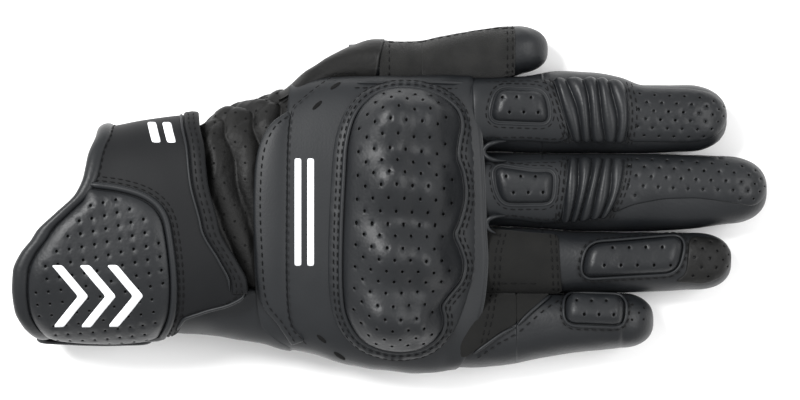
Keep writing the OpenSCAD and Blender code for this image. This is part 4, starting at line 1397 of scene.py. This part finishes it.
CUFF_TOP = node_box("cuff_back")[1][2]
CUFF = Skin(near=[(-130, 21.0), (-98, 23.6), (-84, 26.0), (-71, 27.8), (-60, 28.6)],
            far=[(-130, -45.2), (-98, -46.0), (-60, -45.4)],
            top=[(-130, CUFF_TOP), (-60, CUFF_TOP)], bottom=[(-130, 4.2), (-60, 4.2)], squareness=2.5,
            middle=-90,
            relief=lambda along, angle: 0.35 * ripple(along, 12 * angle, 15.0, 7.7))
MOUTH = curve_through([(0, -97.2), (24, -97.6), (45, -99.8), (62, -101.2), (72, -103.6), (82, -110.3),
                       (90, -117.2), (97, -121.8), (106, -124.2), (118, -124.6), (134, -124),
                       (148, -122.2), (165, -119.6), (190, -116.6), (215, -109), (245, -101),
                       (300, -98.4), (360, -97.2)])
FRONT = curve_through([(0, -65.2), (30, -64.4), (51, -62.7), (72, -61.5), (90, -58), (104, -52),
                       (116, -48.6), (124, -48.4), (131, -53), (137, -62), (144, -68.5), (165, -71.6),
                       (200, -76), (290, -76), (330, -68), (360, -65.2)])
BINDING_W = 3.6


def cuff_place(u, v, depth):
    degrees = 360 * v
    start, end = MOUTH(degrees) + 0.6, FRONT(degrees)
    return CUFF.at(start + (end - start) * u, np.radians(degrees), depth)


def cuff_edge(edge, inset, first, last, count=90):
    """A line beside the mouth or the front edge, between two angles."""
    degrees = np.linspace(first, last, count)
    across = np.interp(90 - degrees, np.degrees(CUFF.angles), CUFF.runs)
    return np.stack([edge(degrees) + inset, across], 1)


# Front edge of the punched patch, from the mouth round to the outer side
PATCH_FRONT = [(-100.6, 3.4), (-90, 2.0), (-81.5, -0.8), (-76.6, -5.6), (-74.6, -14), (-73.4, -26.5),
               (-74.0, -36.7), (-76.6, -43), (-82.5, -49.5), (-94, -51.6)]


def make_cuff(sewing):
    # The cuff's top half takes the darker hide, whose extra darkness is painted shade.
    skin = shell("cuff_leather", cuff_place, 60, 150, 1.4, [CUFF_HIDE_PAINTED_SHADE, GOATSKIN],
                 pick=lambda u, v: 0 if v < 0.51 else 1)
    fit(skin, "cuff", "black_leather", "cuff_back", "cuff_palm")

    def binding(u, v, depth):
        degrees = 360 * v
        t = u * 2 * np.pi
        thick = 1.25 + depth
        x = MOUTH(degrees) + BINDING_W / 2 - (BINDING_W / 2 + (0.9 + depth)) * np.cos(t)
        lift = -0.7 + (thick + 0.7) * np.sin(t)
        return CUFF.at(x, np.radians(degrees), lift)
    rim = shell("cuff_mouth_binding", binding, 24, 300, 0.45, [GOATSKIN])
    weld(rim)
    fit(rim, "cuff", "soft_leather", "cuff_binding")
    sewing.stitch(CUFF.wrap, cuff_edge(MOUTH, BINDING_W + 0.9, -20, 200, 200), 0.15)
    front = spline(PATCH_FRONT)
    flat = np.vstack([CUFF.flat(front), cuff_edge(MOUTH, BINDING_W + 0.9, 76, 174)[::-1]])
    flat = rounded(resample(flat, 4.0, True), 1.6)
    holes = staggered(flat, (5.8, 3.0), 2.2, turn=math.radians(-38))
    patch = panel("cuff_punched_patch", flat, CUFF.wrap,
                  lambda along, across, edge: 0.8 + 1.5 * (1 - (1 - np.clip(edge / 6, 0, 1)) ** 2.2)
                  + 0.3 * ripple(along, across, 9.0, 2.2) * smooth_step(edge, 0, 5), GOATSKIN, holes,
                  step=1.5, roll=0.6)
    fit(patch, "cuff", "soft_leather", "cuff_patch")
    sewing.roll(CUFF.wrap, CUFF.flat(offset_line(front, 1.3)), 1.15, 0.55)
    for reach in (3.1, 4.4):
        sewing.stitch(CUFF.wrap, CUFF.flat(offset_line(front, reach)), 0.2)
    band_loop = np.vstack([cuff_edge(FRONT, 0.5, 2, 123), cuff_edge(FRONT, -4.6, 2, 123)[::-1]])
    band = panel("cuff_front_band", band_loop, CUFF.wrap,
                 lambda along, across, edge: 0.9 + 0.4 * smooth_step(edge, 0, 2), CUFF_HIDE_PAINTED_SHADE, step=1.4,
                 roll=0.8)
    fit(band, "cuff", "black_leather")
    sewing.stitch(CUFF.wrap, cuff_edge(FRONT, -1.4, 16, 121), 1.45)
    sewing.stitch(CUFF.wrap, cuff_edge(FRONT, -3.2, 16, 121), 1.45)
    sewing.roll(CUFF.wrap, cuff_edge(FRONT, -5.4, 4, 121), 0.5, 0.3)
    sewing.roll(CUFF.wrap, cuff_edge(FRONT, -0.8, 122, 158), 0.6, 0.15)
    sewing.stitch(CUFF.wrap, cuff_edge(FRONT, -3.2, 126, 158), 0.15)


# Plain marks printed on the cuff, seen from above: chevrons on its patch, bars by its thumb edge
CHEVRON = [(-112, -40), (-103.5, -30.5), (-112, -21), (-108.6, -21), (-100.1, -30.5), (-108.6, -40)]
CUFF_BAR = [(-81.5, 25.3), (-78.6, 25.3), (-76.6, 18.6), (-79.5, 18.6)]
CHEVRONS, CHEVRON_PITCH = 3, 9.0
CUFF_BARS, CUFF_BAR_PITCH = 2, 5.0


def make_cuff_print():
    marks = [[(x + CHEVRON_PITCH * k, y) for x, y in CHEVRON] for k in range(CHEVRONS)]
    marks += [[(x + CUFF_BAR_PITCH * k, y) for x, y in CUFF_BAR] for k in range(CUFF_BARS)]
    for number, corners in enumerate(marks, 1):
        on_patch = number <= CHEVRONS
        raised = 2.5 if on_patch else 0.14
        made = panel(f"cuff_print_mark_{number}", CUFF.flat(rounded(corners, 0.4, 0.7)), CUFF.wrap,
                     lambda along, across, edge: raised
                     + 0.3 * ripple(along, across, 9.0, 2.2) * on_patch,
                     PRINT, step=1.0, roll=0.0, sink=-raised + 0.3)
        fit(made, "cuff", "white_print")


def make_cuff_flap(sewing):
    low, high = node_box("cuff_flap")
    first, last = CUFF.across(262), CUFF.across(186)
    loop = rounded([(low[0] + 3, first), (high[0], first), (high[0], last), (low[0], last)], 6.0)
    flap = panel("cuff_flap_leather", loop, CUFF.wrap,
                 lambda along, across, edge: 3.1 + 0.25 * smooth_step(edge, 0, 3), COWHIDE, step=2.0,
                 roll=0.8, sink=-1.9)
    fit(flap, "cuff_flap", "black_leather", "cuff_flap")
    sewing.stitch(CUFF.wrap, offset_loop(anticlockwise(loop), -2.4), 3.3, closed=True)


# ---------------------------------------------------------------- the palm

# Stitched creases on the palm, seen from above as (x, y)
PALM_SEAMS = [[(-33, 6), (-20, 8), (-6, 13), (6, 21), (14, 31)],
              [(-33, -42), (-14, -45), (4, -43), (16, -38)]]


def make_palm(sewing):
    for points in PALM_SEAMS:
        line = spline(points)
        line[:, 1] -= (HAND.near(line[:, 0]) + HAND.far(line[:, 0])) / 2
        sewing.roll(HAND.under, line, 0.6, 0.1)
        for side in (-1.5, 1.5):
            sewing.stitch(HAND.under, offset_line(line, side), 0.12, flip=True)
    for node, label in (("palm_patch", "palm_suede_patch"), ("heel_pad", "heel_suede_pad")):
        low, high = node_box(node)
        corners = [(low[0], low[1]), (high[0], low[1]), (high[0], high[1]), (low[0], high[1])]
        loop = rounded(corners, 5)
        middle = (HAND.near(0) + HAND.far(0)) / 2
        flat = np.stack([loop[:, 0], loop[:, 1] - middle], 1)
        pad = panel(label, flat, HAND.under,
                    lambda along, across, edge: 1.2 + 0.25 * smooth_step(edge, 0, 4),
                    SUEDE, step=2.0, roll=0.7, flip=True)
        fit(pad, "hand", "suede", node)
        sewing.stitch(HAND.under, offset_loop(anticlockwise(flat), -1.8), 1.35, closed=True, flip=True)


# ---------------------------------------------------------------- kept solids, light and camera

def paint(node, finish):
    solid = bpy.data.objects[node]
    for k in range(max(1, len(solid.material_slots))):
        if k < len(solid.material_slots):
            solid.material_slots[k].material = finish
        else:
            solid.data.materials.append(finish)


# In metres: half the floor's side, then each lamp's name, place, width and power in watts
FLOOR_REACH = 1.6
LAMPS = [("soft_box_left", (-0.75, 0.55, 1.30), 0.6, 34.0),
         ("soft_box_right", (1.10, 0.15, 1.30), 0.9, 14.0)]
LAMPS_AIM = (0, 0, 0.02)


def make_studio():
    floor_mesh = bpy.data.meshes.new("studio_floor")
    corners = [(x * FLOOR_REACH, y * FLOOR_REACH, 0) for x, y in ((-1, -1), (1, -1), (1, 1), (-1, 1))]
    floor_mesh.from_pydata(corners, [], [(0, 1, 2, 3)])
    paper, _, _, shader = new_tree("studio_paper")
    shader.inputs["Base Color"].default_value = (0.97, 0.97, 0.97, 1)
    shader.inputs["Roughness"].default_value = 0.9
    floor_mesh.materials.append(paper)
    floor = bpy.data.objects.new("studio_floor", floor_mesh)
    bpy.context.scene.collection.objects.link(floor)
    world = bpy.data.worlds.new("studio")
    world.use_nodes = True
    sky = world.node_tree.nodes["Background"]
    sky.inputs["Color"].default_value = (1, 1, 1, 1)
    sky.inputs["Strength"].default_value = 0.9
    bpy.context.scene.world = world
    for name, place, size, watts in LAMPS:
        light = bpy.data.lights.new(name, "AREA")
        light.shape, light.size, light.energy = "DISK", size, watts
        lamp = bpy.data.objects.new(name, light)
        lamp.location = place
        lamp.rotation_euler = (Vector(LAMPS_AIM) - Vector(place)).to_track_quat("-Z", "Y").to_euler()
        bpy.context.scene.collection.objects.link(lamp)


def set_colours():
    """Plain colours, so that the paper is white and the hide keeps its tone."""
    view = bpy.context.scene.view_settings
    view.view_transform = "Standard"
    view.look = "None"


def make_camera():
    """Looks straight down through a long lens, which shows the field's width at mid height."""
    field, distance, mid_height = 266.7, 1600.0, 22.0
    camera = bpy.data.cameras.new("camera")
    camera.sensor_width = 36.0
    camera.lens = camera.sensor_width * (distance - mid_height) / field
    camera.clip_end = 10.0
    holder = bpy.data.objects.new("camera", camera)
    holder.location = (2.17 * MM, -0.33 * MM, distance * MM)
    bpy.context.scene.collection.objects.link(holder)
    bpy.context.scene.camera = holder


# ---------------------------------------------------------------- assembly

hand_rows = Sewing("hand", "hand")
cuff_rows = Sewing("cuff", "cuff")
flap_rows = Sewing("cuff_flap", "cuff_flap")
strap_rows = Sewing("wrist_strap", "wrist_strap")
wrist_rows = Sewing("wrist_side", WRIST_FOLD)
rows = {name + "_root": Sewing(name + "_root", root_fold(name)) for name in FINGERS}
rows.update({name + "_end": Sewing(name + "_end", end_fold(name)) for name in FINGERS})
thumb_root_rows = Sewing("thumb_root", THUMB_SWING)
thumb_end_rows = Sewing("thumb_end", THUMB_BEND)

make_hand()
make_yoke(hand_rows)
make_guard(hand_rows)
make_vents()
make_print()
for finger in FINGERS:
    make_finger_tubes(finger)
for finger in ("index", "middle"):
    make_root_panel(finger, rows[finger + "_root"])
    make_pleats(finger, rows[finger + "_end"])
for finger in FINGERS:
    make_finger_pad(finger, rows[finger + "_" + PADS[finger][2]])
for finger in TIP_PANELS:
    make_tip_panel(finger)
make_stretch(rows)
make_little_tip()
make_slot_rolls(hand_rows)
make_thumb(thumb_root_rows, thumb_end_rows)
make_thenar()
make_gusset()
make_strap_anchor(wrist_rows)
make_strap(strap_rows)
make_cuff(cuff_rows)
make_cuff_print()
make_cuff_flap(flap_rows)
make_palm(hand_rows)
for sewing in (hand_rows, cuff_rows, flap_rows, strap_rows, wrist_rows, thumb_root_rows, thumb_end_rows,
               *rows.values()):
    sewing.make()
for tape in ("strap_loop_tape", "strap_hook_tape", "cuff_loop_tape", "flap_hook_tape"):
    paint(tape, TAPE)
make_studio()
set_colours()
make_camera()
